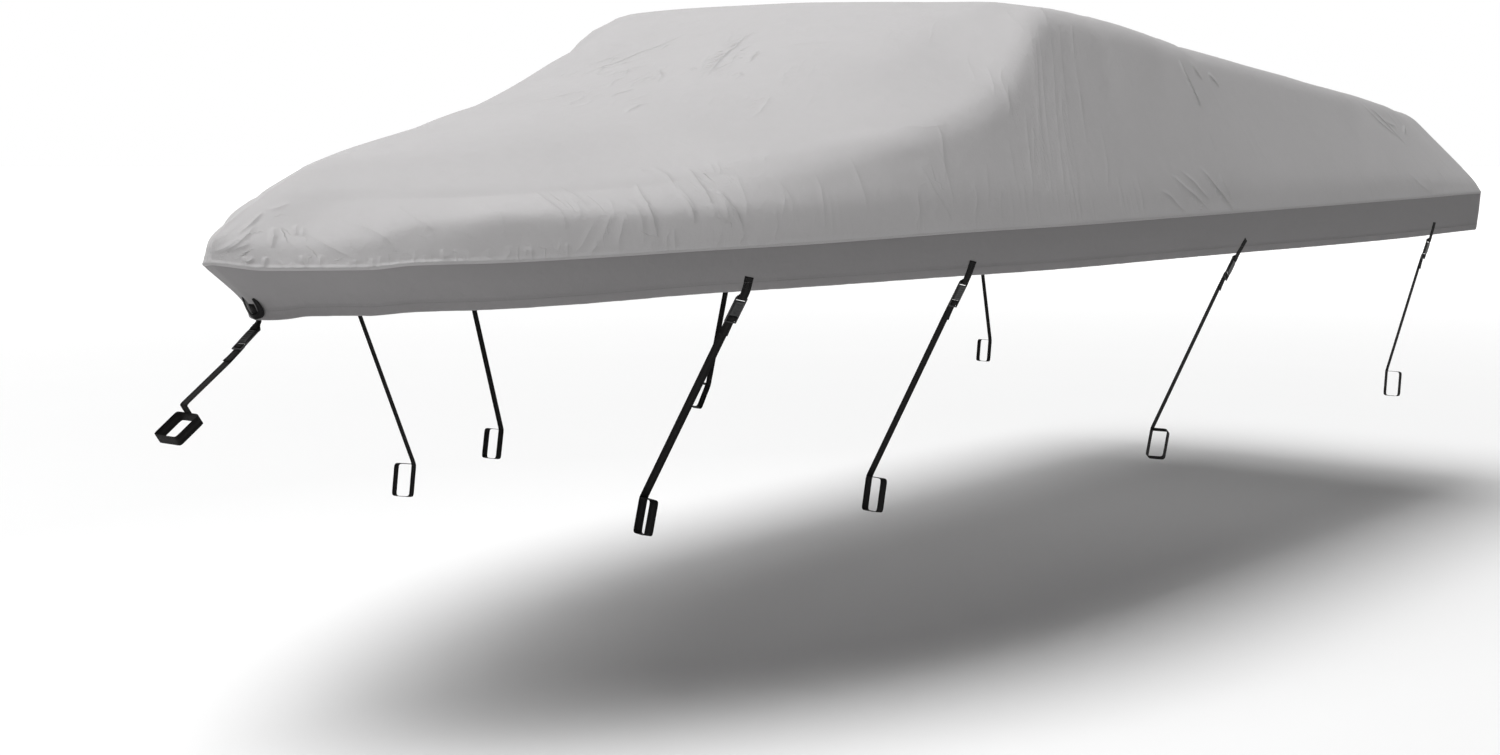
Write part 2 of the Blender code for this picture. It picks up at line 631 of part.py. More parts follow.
def bow_tie():
    """Frame, tab grid, strap grid and loop grid of the bow's tie."""
    loop_aft = np.array([LOOP_UP[2], 0.0, -LOOP_UP[0]])
    half_side = LOOP_SIDE / 2 + BAND_HALF
    landing = LOOP_MIDDLE + loop_aft * (half_side + 0.8 * WEBBING_THICK)
    hem, _ = skirt_patch(0.0, 1.0)
    bar = hem + np.array([BOW_BAR[0], 0.0, BOW_BAR[1]])
    frame = TieFrame(bar, landing + LOOP_UP * 0.030, (-1.0, 0.0, 0.6))

    inside = -(CLOTH + 3 * GAP + BAND_HALF)
    tab = [stem_row(BOW_TAB_START, inside), stem_row(1.0, inside), stem_row(1.0, inside, 0.005)]
    widths = np.array([1.0, ROW_INNER, 0.0, -ROW_INNER, -1.0]) * WEBBING / 2
    tab += [[frame.out(u, w) + np.array([0.0, y, 0.0]) for y in widths] for u, w in eye_path(0.010, 0.004)]

    thread = [frame.out(u, w) for u, w in buckle_thread()]
    lying = [landing + LOOP_UP * rise for rise in (0.034, 0.026, -0.006)]
    ring = []
    for a, b in ((1, 1), (-1, 1), (-1, -1), (1, -1)):
        corner = LOOP_MIDDLE + loop_aft * (a * half_side) + np.array([0.0, b * half_side, 0.0])
        pair = [corner - loop_aft * (a * LOOP_NICK), corner - np.array([0.0, b * LOOP_NICK, 0.0])]
        ring += pair if a * b < 0 else pair[::-1]
    return frame, np.array(tab), band(thread + lying, frame.v), band(ring, LOOP_UP)


def add_bow_tie(group, cutters, webbing, plastic, buckle):
    frame, tab, strap, ring = bow_tie()
    add_band(group, "bow_patch", bow_patch(), webbing)
    add_band(group, "bow_tab", tab, webbing)
    tie = add_band(group, "bow_strap", strap, webbing)
    loop = add_band(cutters, "bow_loop", ring, webbing, closed=True)
    cut(tie, loop, "UNION")
    obj = add_object(group, "bow_buckle", buckle, plastic)
    obj.matrix_world = frame.matrix(1)


# ---------------------------------------------------------------- the whole cover
def main():
    clear_scene()
    cover = collection("boat_cover")
    cutters = collection("cutters")
    top_cloth = finish("top_cloth", TOP_GREY, 0.85)
    skirt_cloth = finish("skirt_cloth", SKIRT_GREY, 0.85)
    webbing = finish("webbing", WEBBING_BLACK, 0.6)
    plastic = finish("buckle_plastic", PLASTIC_BLACK, 0.4)

    ways = crowded(TOP_COUNT)
    top = top_grid(ways, TOP_LEG)
    add_cloth(cover, "top_panel", top, top_cloth)
    finer = crowded(2 * TOP_COUNT - 1)
    skirt = skirt_grid(finer, SKIRT_LEVELS, below_rim(ways, top, finer))
    add_cloth(cover, "skirt_band", skirt, skirt_cloth)

    buckle = buckle_mesh(cutters, plastic)
    add_side_ties(cover, webbing, plastic, buckle)
    add_bow_tie(cover, cutters, webbing, plastic, buckle)


main()
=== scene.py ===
"""A fitted boat cover with its webbing ties, laid out as a Blender add-on and run as a script.

The frame is +X aft, +Y to starboard and +Z up, in metres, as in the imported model. Shapes are worked out in
station coordinates (x aft from the stem, y from the middle line, z up from the floor) on the port half,
then moved by placed(). Each cloth surface is a function of two parameters: the way along the half outline,
from the stem round to the middle of the transom, and the place across, from the spine to the seam or from
the seam to the hem.
"""

import bpy
import mathutils
import numpy as np
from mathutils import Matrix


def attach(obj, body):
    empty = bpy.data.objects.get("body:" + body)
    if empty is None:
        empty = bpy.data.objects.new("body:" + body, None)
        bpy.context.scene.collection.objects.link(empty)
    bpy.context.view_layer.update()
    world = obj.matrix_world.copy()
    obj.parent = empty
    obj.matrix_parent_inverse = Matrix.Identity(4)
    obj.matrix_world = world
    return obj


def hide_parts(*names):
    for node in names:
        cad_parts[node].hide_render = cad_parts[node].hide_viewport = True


bl_info = {
    "name": "Boat Cover",
    "version": (1, 0, 0),
    "blender": (4, 5, 0),
    "location": "3D View > Sidebar > Boat Cover",
    "description": "Builds a fitted boat cover: cloth, seams, webbing ties and ladder buckles",
    "category": "Add Mesh",
}

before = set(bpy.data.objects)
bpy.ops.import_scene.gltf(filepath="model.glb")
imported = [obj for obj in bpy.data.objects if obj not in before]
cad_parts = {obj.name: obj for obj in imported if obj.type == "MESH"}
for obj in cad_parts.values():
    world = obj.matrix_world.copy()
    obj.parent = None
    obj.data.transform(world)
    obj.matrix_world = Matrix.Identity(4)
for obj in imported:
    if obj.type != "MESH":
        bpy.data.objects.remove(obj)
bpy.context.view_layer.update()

# ---------------------------------------------------------------- the cover's outline and sections
LENGTH = 5.26                # from the stem to the transom's corners
HALF_BEAM = 1.00
BOW_RUN = 2.30               # how far aft the bow's curve goes
BOW_POWER = 2.1              # p and q of half_outline()
BOW_POINT = 0.80
AFT_TAPER = 0.03             # how much narrower the outline gets towards the transom
CORNER_RADIUS = 0.20
TRANSOM_ROUND = 0.03         # how far the transom bulges aft
STEM_EASE = 0.35             # way over which the skirt's inset turns from straight aft to square
STEM_TUCK = (0.009, 0.06)    # how far the seam is drawn back at the stem, and over what way
CREST_X = 2.20               # x of the windscreen's crest, over the frame's origin
GAP = 0.0003                 # air between pieces that lie against each other
CAD_CLOTH = 0.002            # the cloth's thickness in the solids
SIDES = ((1, "port"), (-1, "starboard"))

# Crown: the middle line of the top. Columns: x, z.
CROWN = np.array([
    (0.40, 1.399), (0.75, 1.457), (1.10, 1.519), (1.35, 1.566), (1.60, 1.645), (1.85, 1.733),
    (2.08, 1.802), (2.25, 1.803), (2.45, 1.785), (2.70, 1.746), (3.06, 1.694), (3.50, 1.642),
    (4.10, 1.572), (4.70, 1.505), (4.90, 1.490),
])

# Seam between top and skirt. Columns: x, z.
SEAM = np.array([
    (0.00, 1.174), (0.07, 1.161), (0.22, 1.161), (0.30, 1.1695), (0.45, 1.1715), (0.60, 1.1765),
    (0.85, 1.186), (1.08, 1.1915), (1.73, 1.204), (2.30, 1.203), (3.10, 1.199), (3.70, 1.196),
    (4.50, 1.192), (5.00, 1.190), (5.25, 1.187),
])

# Skirt. Columns: x, drop from seam to hem, how far the hem is drawn in, share of that inset that follows a
# sine.
SKIRT = np.array([
    (0.00, 0.139, 0.120, 1.0), (0.10, 0.116, 0.104, 0.9), (0.17, 0.116, 0.098, 0.8),
    (0.30, 0.118, 0.086, 0.7), (0.45, 0.1165, 0.066, 0.5), (0.60, 0.1145, 0.052, 0.3),
    (0.90, 0.110, 0.036, 0.0), (1.77, 0.120, 0.030, 0.0), (3.08, 0.131, 0.030, 0.0),
    (3.70, 0.138, 0.028, 0.0), (4.50, 0.143, 0.022, 0.0), (5.13, 0.142, 0.012, 0.0),
])

# Sections of the top, from stem to transom. Columns: x at the seam (past LENGTH on the transom), x at the
# spine, shoulder's distance in from the seam, shoulder's z, softness of the shoulder, share of the way out
# that stays level.
SECTIONS = np.array([
    (0.000, 0.40, 0.136, 1.308, 0.12, 0.38),
    (0.200, 0.50, 0.118, 1.308, 0.12, 0.40),
    (0.538, 0.66, 0.098, 1.316, 0.12, 0.38),
    (0.900, 0.95, 0.078, 1.342, 0.12, 0.38),
    (1.140, 1.17, 0.066, 1.382, 0.12, 0.42),
    (1.480, 1.50, 0.065, 1.448, 0.10, 0.46),
    (1.750, 1.80, 0.085, 1.505, 0.11, 0.56),
    (2.000, 2.05, 0.150, 1.628, 0.11, 0.60),
    (2.090, 2.13, 0.175, 1.715, 0.10, 0.74),
    (2.260, 2.28, 0.205, 1.772, 0.13, 0.70),
    (2.700, 2.68, 0.200, 1.744, 0.15, 0.66),
    (3.060, 3.02, 0.200, 1.694, 0.15, 0.66),
    (3.500, 3.45, 0.200, 1.647, 0.14, 0.66),
    (4.200, 4.12, 0.200, 1.572, 0.13, 0.66),
    (4.800, 4.55, 0.230, 1.515, 0.12, 0.66),
    (5.180, 4.70, 0.283, 1.480, 0.12, 0.60),
    (5.262, 4.80, 0.300, 1.470, 0.12, 0.50),
    (5.290, 4.86, 0.240, 1.470, 0.12, 0.50),
])

# The cloth rolls over the gunwale and hangs upright above the seam. Columns: x, height of the upright band,
# and how much of the section's lean it takes out.
ROLL = np.array([
    (0.00, 0.055, 1.15), (0.12, 0.050, 0.75), (0.30, 0.088, 0.90), (0.45, 0.108, 0.95), (0.60, 0.102, 0.95),
    (1.00, 0.092, 0.95), (1.50, 0.092, 0.85), (1.90, 0.080, 0.65), (2.30, 0.070, 0.50), (3.50, 0.065, 0.50),
    (4.60, 0.055, 0.55), (5.00, 0.040, 0.50), (5.29, 0.035, 0.10),
])

# Main folds of the top, pressed in along the normal. Columns: x and share of the section (0 spine, 1 seam)
# at one end, the same at the other end, depth (minus is a ridge), half width.
FOLDS = np.array([
    (2.02, 0.60, 1.92, 0.95, -0.006, 0.070),
    (2.52, 0.74, 2.40, 0.92, 0.004, 0.050),
    (3.02, 0.72, 3.10, 0.82, 0.004, 0.040),
    (2.98, 0.62, 3.02, 0.70, -0.006, 0.030),
    (4.74, 0.70, 4.98, 0.84, 0.007, 0.050),
    (0.10, 0.85, 0.32, 0.62, 0.006, 0.055),
    (0.26, 0.92, 0.50, 0.74, 0.005, 0.050),
    (1.34, 0.80, 1.56, 0.93, 0.005, 0.050),
    (2.65, 0.92, 2.95, 0.78, 0.004, 0.050),
    (4.05, 0.93, 4.35, 0.80, 0.004, 0.050),
])

# Creases of the cloth. Columns: x and share at one end, the same at the other end, sideways bulge of the
# line as a share of its length, height, half width in millimetres. A share below 0 lies on the starboard
# half.
CREASES = {
    "bow_fan": [
        (0.050, 0.845, 0.125, 0.725, 0.00, 2.2, 7), (0.010, 0.945, 0.050, 0.855, 0.00, 1.2, 6),
        (0.018, 0.945, 0.092, 0.790, -0.02, 1.8, 8), (0.116, 0.800, 0.086, 0.900, 0.00, 2.2, 8),
        (0.156, 0.785, 0.138, 0.845, 0.00, 1.7, 7), (0.163, 0.800, 0.147, 0.850, 0.00, 1.4, 7),
        (0.030, 0.930, 0.060, 0.870, 0.00, 1.1, 6), (0.130, 0.720, 0.180, 0.680, 0.00, 1.1, 9),
    ],
    "bow_puckers": [
        (0.074, 0.940, 0.067, 1.000, 0.00, 2.0, 6), (0.046, 0.945, 0.044, 1.000, 0.00, 1.5, 6),
        (0.046, 0.982, 0.058, 0.950, 0.00, 1.8, 5), (0.124, 0.940, 0.128, 1.000, 0.00, 1.6, 6),
        (0.155, 0.935, 0.152, 1.000, 0.00, 1.4, 6), (0.205, 0.960, 0.205, 1.000, 0.00, 1.0, 7),
        (0.245, 0.955, 0.250, 1.000, 0.10, 1.2, 8), (0.300, 0.965, 0.310, 1.000, 0.00, 0.9, 8),
        (0.355, 0.950, 0.355, 1.000, 0.00, 1.0, 9), (0.430, 0.960, 0.440, 1.000, 0.00, 0.8, 9),
    ],
    "bow_side": [
        (0.150, 0.800, 0.210, 0.970, 0.06, 1.0, 16), (0.230, 0.780, 0.270, 0.950, -0.05, 0.9, 18),
        (0.330, 0.740, 0.350, 0.900, 0.05, 0.8, 20), (0.590, 0.800, 0.585, 0.920, 0.04, 1.5, 9),
        (0.650, 0.780, 0.640, 0.900, -0.04, 1.3, 9),
    ],
    "deck_edge": [
        (0.882, 0.765, 0.858, 0.893, -0.05, 1.8, 8), (0.930, 0.815, 0.896, 0.955, -0.05, 2.2, 8),
        (0.930, 0.905, 0.966, 0.978, 0.00, 2.7, 7), (0.797, 0.845, 0.770, 0.985, 0.14, 2.2, 8),
        (0.854, 0.900, 0.852, 0.958, 0.00, 2.2, 7), (0.850, 0.755, 0.849, 0.785, 0.00, 1.0, 7),
        (0.905, 0.930, 0.925, 0.965, 0.00, 1.3, 7), (0.700, 0.920, 0.680, 1.000, 0.03, 1.3, 9),
        (0.640, 0.960, 0.630, 1.000, 0.00, 1.1, 8), (0.805, 0.960, 0.800, 1.000, 0.00, 1.5, 7),
        (0.745, 0.880, 0.735, 0.980, 0.05, 1.0, 9), (1.190, 0.930, 1.170, 0.990, 0.04, 0.9, 11),
        (1.300, 0.920, 1.290, 0.980, 0.04, 0.9, 12),
    ],
    "slope": [
        (1.450, -0.262, 1.790, -0.140, 0.02, 4.2, 10), (1.555, -0.320, 1.650, -0.275, 0.00, 3.0, 9),
        (1.470, -0.345, 1.515, -0.310, 0.00, 2.4, 9), (1.430, -0.148, 1.545, -0.055, 0.00, 2.2, 10),
        (1.200, 0.132, 1.320, 0.098, 0.00, 2.5, 9), (1.065, 0.360, 1.170, 0.317, 0.00, 2.4, 9),
        (1.478, 0.165, 1.515, 0.143, 0.00, 2.4, 8), (1.330, -0.020, 1.440, -0.060, 0.00, 1.8, 10),
        (1.260, 0.620, 1.400, 0.540, 0.05, 1.2, 14), (1.700, 0.300, 1.760, 0.440, 0.05, 1.0, 14),
    ],
    "corner": [
        (2.130, 0.81, 1.960, 0.955, 0.02, 0.6, 12), (2.160, 0.80, 1.985, 0.960, 0.02, 0.6, 11),
        (2.205, 0.81, 2.035, 0.960, 0.02, 0.6, 12), (2.110, 0.82, 1.930, 0.970, 0.02, 0.5, 11),
        (2.270, 0.80, 2.090, 0.965, 0.03, 0.5, 13), (1.985, 0.90, 1.885, 0.985, 0.02, 0.5, 10),
        (1.840, 0.93, 1.815, 0.985, 0.02, 0.5, 10), (2.060, 0.93, 2.010, 0.990, 0.02, 0.5, 10),
        (2.130, 0.93, 2.075, 0.990, 0.02, 0.4, 10), (2.000, 0.92, 1.955, 0.990, 0.00, 0.4, 9),
    ],
    "kink": [
        (1.500, 0.880, 1.630, 0.915, 0.10, 0.7, 18), (1.600, 0.900, 1.555, 0.965, -0.08, 1.0, 14),
        (1.560, 0.940, 1.570, 0.985, 0.00, 0.7, 11), (1.660, 0.965, 1.640, 1.000, 0.00, 0.8, 9),
        (1.720, 0.950, 1.690, 0.990, 0.00, 0.6, 11),
    ],
    "bump": [
        (2.938, 0.828, 2.974, 0.880, 0.00, 6.6, 11), (3.015, 0.825, 3.055, 0.843, 0.00, 5.0, 9),
        (3.118, 0.832, 3.160, 0.845, 0.00, 4.4, 9), (2.970, 0.900, 2.975, 0.930, 0.00, 1.4, 12),
        (3.000, 0.700, 3.060, 0.690, 0.00, -3.0, 20),
    ],
    "tie_drag": [
        (2.835, 0.950, 2.980, 0.999, 0.00, 5.0, 10), (2.942, 0.957, 2.978, 0.985, 0.00, 3.1, 8),
        (2.630, 0.956, 2.820, 0.997, 0.00, 2.9, 10), (2.550, 0.972, 2.668, 0.998, 0.00, 2.6, 9),
        (2.705, 0.955, 2.850, 0.987, 0.00, 2.4, 10), (4.440, 0.950, 4.600, 0.995, 0.03, 1.4, 14),
        (1.480, 0.950, 1.560, 0.995, 0.02, 1.2, 12),
    ],
    "hip": [
        (4.415, 0.820, 4.590, 0.893, -0.07, 3.2, 11), (4.338, 0.812, 4.560, 0.872, 0.04, 2.6, 11),
        (4.515, 0.838, 4.605, 0.847, 0.00, 2.0, 9), (4.725, 0.832, 4.648, 0.858, 0.00, 2.4, 11),
        (4.800, 0.760, 4.900, 0.850, 0.05, 1.2, 18), (5.050, 0.740, 5.130, 0.860, 0.04, 1.2, 18),
    ],
    "transom": [
        (5.262, 0.60, 5.270, 0.92, 0.04, 2.2, 20), (5.280, 0.62, 5.288, 0.95, -0.03, 2.0, 22),
        (5.180, 0.70, 5.230, 0.96, 0.04, 2.4, 18),
    ],
}

# Creases scattered over bands of the port half. Columns: the band's x from and to, its share from and to, a
# crease's run in x and in share, how many, height and half width in millimetres.
SCATTERED = np.array([
    (0.02, 0.60, 1.00, 1.00, 0.000, -0.045, 26, 0.8, 7),
    (0.60, 5.20, 1.00, 1.00, 0.008, -0.040, 60, 0.6, 8),
    (0.10, 0.60, 0.76, 0.92, 0.000, 0.070, 14, 0.6, 12),
    (0.62, 1.15, 0.80, 0.93, -0.030, 0.070, 16, 0.8, 9),
    (1.00, 1.70, 0.02, 0.35, 0.160, -0.090, 16, 0.8, 12),
    (1.20, 1.90, 0.30, 0.70, 0.090, -0.050, 18, 0.5, 12),
    (1.90, 2.40, 0.70, 0.92, -0.080, 0.090, 14, 0.8, 11),
    (2.40, 4.30, 0.70, 0.97, 0.060, 0.070, 26, 0.5, 14),
    (2.30, 4.60, 0.05, 0.60, 0.120, 0.060, 22, 0.5, 16),
    (4.30, 5.20, 0.70, 0.95, 0.060, 0.080, 16, 0.8, 14),
    (5.20, 5.28, 0.60, 0.95, 0.010, 0.120, 8, 1.0, 16),
])

# Gathers of the skirt. Columns: length of the wave along the outline, share of its height.
GATHERS = ((0.045, 0.35), (0.031, 0.30), (0.072, 0.45), (0.13, 0.6))

# Ties on the port side. Columns: x of the tab at the hem, then x, y and z of the upper corner of its loop.
TIES = np.array([
    (0.985, 0.980, -0.407, 0.556),
    (1.645, 1.576, -0.666, 0.556),
    (3.075, 2.775, -0.850, 0.556),
    (4.647, 4.585, -0.840, 0.556),
])
TIE_LOOP = (0.088, 0.052)    # height and depth of the loop at a strap's lower end
WEBBING = 0.025
WEBBING_THICK = 0.0014
TAB_LEVEL = 0.6              # t from which the skirt counts as straight, down to its hem
TAB_START = 0.68             # t at a tab's upper end
TAB_DROP = 0.021             # from the hem to the middle of the tab's eye

# Ladder buckle: u down the strap, w outboard; u = 0 at the middle of the tab's bar.
BAR = 0.004                  # thickness of its bars and rails
BUCKLE_LONG = 0.068
BUCKLE_WIDE = WEBBING + 0.0084
BODY_U = (0.0065, 0.0480)
BODY_W = (-0.0030, 0.0055)
BODY_WIDE = 0.0270
RAIL_WIDE = 0.0035
MID_BAR_U = 0.0560
GROOVES = (0.0145, 0.0205, 0.0265, 0.0325, 0.0385)
SLOTS = [(0.0480, 0.0540), (0.0580, 0.0640)]
BAND_HALF = WEBBING_THICK / 2
EYE_RADIUS = BAR / 2 + 0.0012 + BAND_HALF
TAIL_W = -(BAR / 2 + GAP + BAND_HALF)
LOAD_W = TAIL_W - WEBBING_THICK - GAP
TAIL_END = 0.105             # u of the strap's free end
TAIL_LIFT = 0.0022           # how far that end stands off

# The bow's own tie, and the square loop at its lower end
LOOP_MIDDLE = np.array([-0.092, 0.0, 0.816])
LOOP_UP = np.array([-0.56, 0.0, 0.83]) / np.hypot(0.56, 0.83)
LOOP_SIDE = 0.075
BOW_BAR = (-0.003, -0.020)   # x and z of the tab's bar from the hem
BOW_TAB_START = 0.74         # t at the tab's upper end

# Patch round the stem. Columns: way and t of its inner edge, and of its outer edge, from the port end to
# the middle.
BOW_PATCH = np.array([
    (0.0180, 0.63, 0.0250, 0.61),
    (0.0200, 0.70, 0.0350, 0.69),
    (0.0210, 0.80, 0.0400, 0.82),
    (0.0140, 0.87, 0.0300, 0.93),
    (0.0000, 0.90, 0.0000, 0.985),
])

# Where the rows of the cloth's mesh lie closer together. Columns: x, reach along the outline, how many more.
CROWD = ((0.0, 0.35, 2.0), (0.9, 0.30, 0.5), (2.1, 0.30, 0.4), (LENGTH - 0.03, 0.22, 0.8))

# Mesh sizes of the cloth
TOP_ROWS = 601               # along the half outline
TOP_COLUMNS = 77             # from spine to seam, to port; every second one to starboard
LAP_STEPS = 4                # of the top's edge, where it laps over the skirt
SECTION_STEPS = 24           # of each of a section's four curves, before its points are set out by length
SEED = 7

# Creases, in metres unless said otherwise
CREASE_LIFT = 0.0012         # lift of a crease of height 1
TROUGH = 0.45                # depth of the troughs beside its crest, as a share of it
CREASE_REACH = 0.048         # how far from its line a crease changes the cloth, at least
RIDGE_FADE = (0.018, 0.042)  # where its drawn ridge begins and ends fading out
NO_CREASE = 60.0             # distance in millimetres that a point near no crease is marked with
MARK_PAIRS = 3               # how many creases can be drawn at one point

# Studio. The camera's place is in station coordinates, the others are in the frame's.
FLOOR_HALF = 60.0
KEY_TOWARD = (-0.38, 0.10, 0.92)
KEY_SPREAD = 50.0            # degrees
SOFTBOX_PLACE = (-4.0, 0.2, 10.0)
SOFTBOX_SIDE = 7.0
WALL_FAR = 45.0              # the backdrop's distance, height and half width
WALL_HIGH = 40.0
WALL_HALF = 70.0
WALL_AIM = np.array([0.787, 0.617, 0.0])
WALL_ALONG = np.array([-0.617, 0.787, 0.0])
CAMERA_PLACE = np.array([-3.054, -3.902, 1.521])
CAMERA_DOWN = 7.138          # degrees below level
CAMERA_AIM = 38.094          # degrees from aft towards starboard
SENSOR_WIDTH = 36.0          # millimetres


# ---------------------------------------------------------------- curves through short tables
def smooth(x, xs, values):
    """A cubic through the table's points that never overshoots them."""
    xs, values = np.asarray(xs, float), np.asarray(values, float)
    step = np.diff(xs)
    slope = np.diff(values) / step
    tangent = np.empty_like(values)
    tangent[0], tangent[-1] = slope[0], slope[-1]
    tangent[1:-1] = (slope[:-1] * step[1:] + slope[1:] * step[:-1]) / (step[:-1] + step[1:])
    limit = 3 * np.minimum(np.abs(slope[:-1]), np.abs(slope[1:]))
    inner = np.sign(tangent[1:-1]) * np.minimum(np.abs(tangent[1:-1]), limit)
    tangent[1:-1] = np.where(slope[:-1] * slope[1:] > 0, inner, 0.0)
    x = np.clip(x, xs[0], xs[-1])
    k = np.clip(np.searchsorted(xs, x) - 1, 0, len(step) - 1)
    t = (x - xs[k]) / step[k]
    return (
        (1 + 2 * t) * (1 - t) ** 2 * values[k]
        + t * (1 - t) ** 2 * step[k] * tangent[k]
        + t * t * (3 - 2 * t) * values[k + 1]
        + t * t * (t - 1) * step[k] * tangent[k + 1]
    )


def ramp(value, low, high):
    """0 below low, 1 above high, and a smooth step between them."""
    t = np.clip((value - low) / (high - low), 0, 1)
    return t * t * (3 - 2 * t)


def half_outline():
    """The plan outline of the gunwale: y = B (1 - (1 - s)^p)^q at the bow, a quarter circle at the transom
    corner."""
    share = np.linspace(0, 1, 240) ** 2
    bow_x, bow_y = BOW_RUN * share, HALF_BEAM * (1 - (1 - share) ** BOW_POWER) ** BOW_POINT
    side_x = np.linspace(BOW_RUN, LENGTH - CORNER_RADIUS, 60)[1:]
    side_y = HALF_BEAM - AFT_TAPER * ((side_x - BOW_RUN) / (LENGTH - BOW_RUN)) ** 2
    turn = np.linspace(0, np.pi / 2, 24)[1:]
    corner_x = LENGTH - CORNER_RADIUS + CORNER_RADIUS * np.sin(turn)
    corner_y = side_y[-1] - CORNER_RADIUS * (1 - np.cos(turn))
    back_y = np.linspace(corner_y[-1], 0, 40)[1:]
    back_x = LENGTH + TRANSOM_ROUND * (1 - (back_y / corner_y[-1]) ** 2)
    x = np.concatenate([bow_x, side_x, corner_x, back_x])
    y = np.concatenate([bow_y, side_y, corner_y, back_y])
    return x, y, np.concatenate([[0], np.cumsum(np.hypot(np.diff(x), np.diff(y)))])


OUT_X, OUT_Y, OUT_WAY = half_outline()
HALF_GIRTH = OUT_WAY[-1]
BACK_HALF = HALF_BEAM - AFT_TAPER - CORNER_RADIUS
BACK_ROW = 0.7               # place of the transom's section, as a share of the transom's half


def way_at(x):
    """How far along the half outline it reaches x."""
    last = np.argmax(OUT_X >= x)
    return float(np.interp(x, OUT_X[: last + 1], OUT_WAY[: last + 1]))


def section_way(x):
    """The way of the section at x, or of the one on the transom where x is past LENGTH."""
    return way_at(x) if x < LENGTH else HALF_GIRTH - BACK_ROW * BACK_HALF


SECTION_WAYS = np.array([section_way(x) for x in SECTIONS[:, 0]])
SECTION_WAYS[[0, -1]] = 0.0, HALF_GIRTH


def crown_z(x):
    """Height of the top's middle line at x."""
    return smooth(x, CROWN[:, 0], CROWN[:, 1])


def seam_z(x):
    """Height of the seam at x."""
    return smooth(x, SEAM[:, 0], SEAM[:, 1])


ORIGIN = np.array([CREST_X, 0.0, 1.8009746])      # under the solids' crown at the crest, by CAD_CLOTH


def placed(points):
    """Station coordinates to the frame's own."""
    return np.asarray(points) - ORIGIN


def gunwale(way):
    """Points of the seam at these ways along the port half outline, with the inward direction in plan.

    At the stem the seam is drawn back by a Gaussian of the way, so that the cloth above it stands proud."""
    tuck, run = STEM_TUCK
    x = np.interp(way, OUT_WAY, OUT_X) + tuck * np.exp(-((way / run) ** 2))
    y = np.interp(way, OUT_WAY, OUT_Y)
    reach = 0.012
    ahead, behind = np.clip(way + reach, 0, HALF_GIRTH), np.clip(way - reach, 0, HALF_GIRTH)
    run_x = np.interp(ahead, OUT_WAY, OUT_X) - np.interp(behind, OUT_WAY, OUT_X)
    run_y = np.interp(ahead, OUT_WAY, OUT_Y) - np.interp(behind, OUT_WAY, OUT_Y)
    run_x = np.where((way < reach) | (way > HALF_GIRTH - reach), 0.0, run_x)
    long = np.hypot(run_x, run_y)
    inward = np.stack([run_y / long, run_x / long], axis=-1)
    inward[way > HALF_GIRTH - reach, 0] = -1.0
    return np.stack([x, -y, seam_z(x)], axis=-1), inward


def crowded(count):
    """Ways along the half outline, closer together at the stem, the deck edge, the crest and the transom
    corner."""
    fine = np.linspace(0, HALF_GIRTH, 2000)
    density = 1 + sum(extra * np.exp(-(((fine - way_at(x)) / wide) ** 2)) for x, wide, extra in CROWD)
    total = np.concatenate([[0], np.cumsum((density[1:] + density[:-1]) / 2)])
    return np.interp(np.linspace(0, 1, count), total / total[-1], fine)


# ---------------------------------------------------------------- the top's surface, port half
def bend(a, b, c, t):
    """A point of the parabola that leaves a towards b and arrives at c."""
    return (1 - t) ** 2 * a + 2 * t * (1 - t) * b + t * t * c


def eased(ways, values):
    """The table's column at these ways, averaged with a Gaussian weight along the outline so that it has no
    kinks: 3 cm wide up to the crest and 11 cm wide aft of it."""
    count, margin, window = 1500, 300, 90
    step = HALF_GIRTH / count
    fine = np.arange(-margin, count + margin + 1) * step
    inside = HALF_GIRTH - np.abs(HALF_GIRTH - np.abs(fine))
    curve = smooth(inside, SECTION_WAYS, values)
    offsets = np.arange(-window, window + 1) * step
    near, far = [np.exp(-((offsets / reach) ** 2) / 2) for reach in (0.03, 0.11)]
    soft, softer = [np.convolve(curve, weight / weight.sum(), mode="same") for weight in (near, far)]
    aft = ramp(fine, way_at(2.3), way_at(2.7)) * (1 - ramp(fine, way_at(4.6), way_at(5.0)))
    return np.interp(ways, fine, soft + aft * (softer - soft))


def rolled(out, height, seam_height, inset, shoulder_height, band, amount):
    """Sections pushed outwards so that they stand upright in a band above the seam: the push rises with the
    height as fast as the section leans in, and falls back to nothing at the shoulder, with a soft turn
    between the two."""
    full = shoulder_height - seam_height
    up = np.clip((height - seam_height[:, None]) / full[:, None], 0, 1)
    knee = (band / full)[:, None]
    fall = (1 - up) * knee / (1 - knee)
    turn = 0.60 * knee
    push = np.maximum(up + fall - np.sqrt((up - fall) ** 2 + turn * turn), 0) / 2
    return out + push * (amount * inset)[:, None]


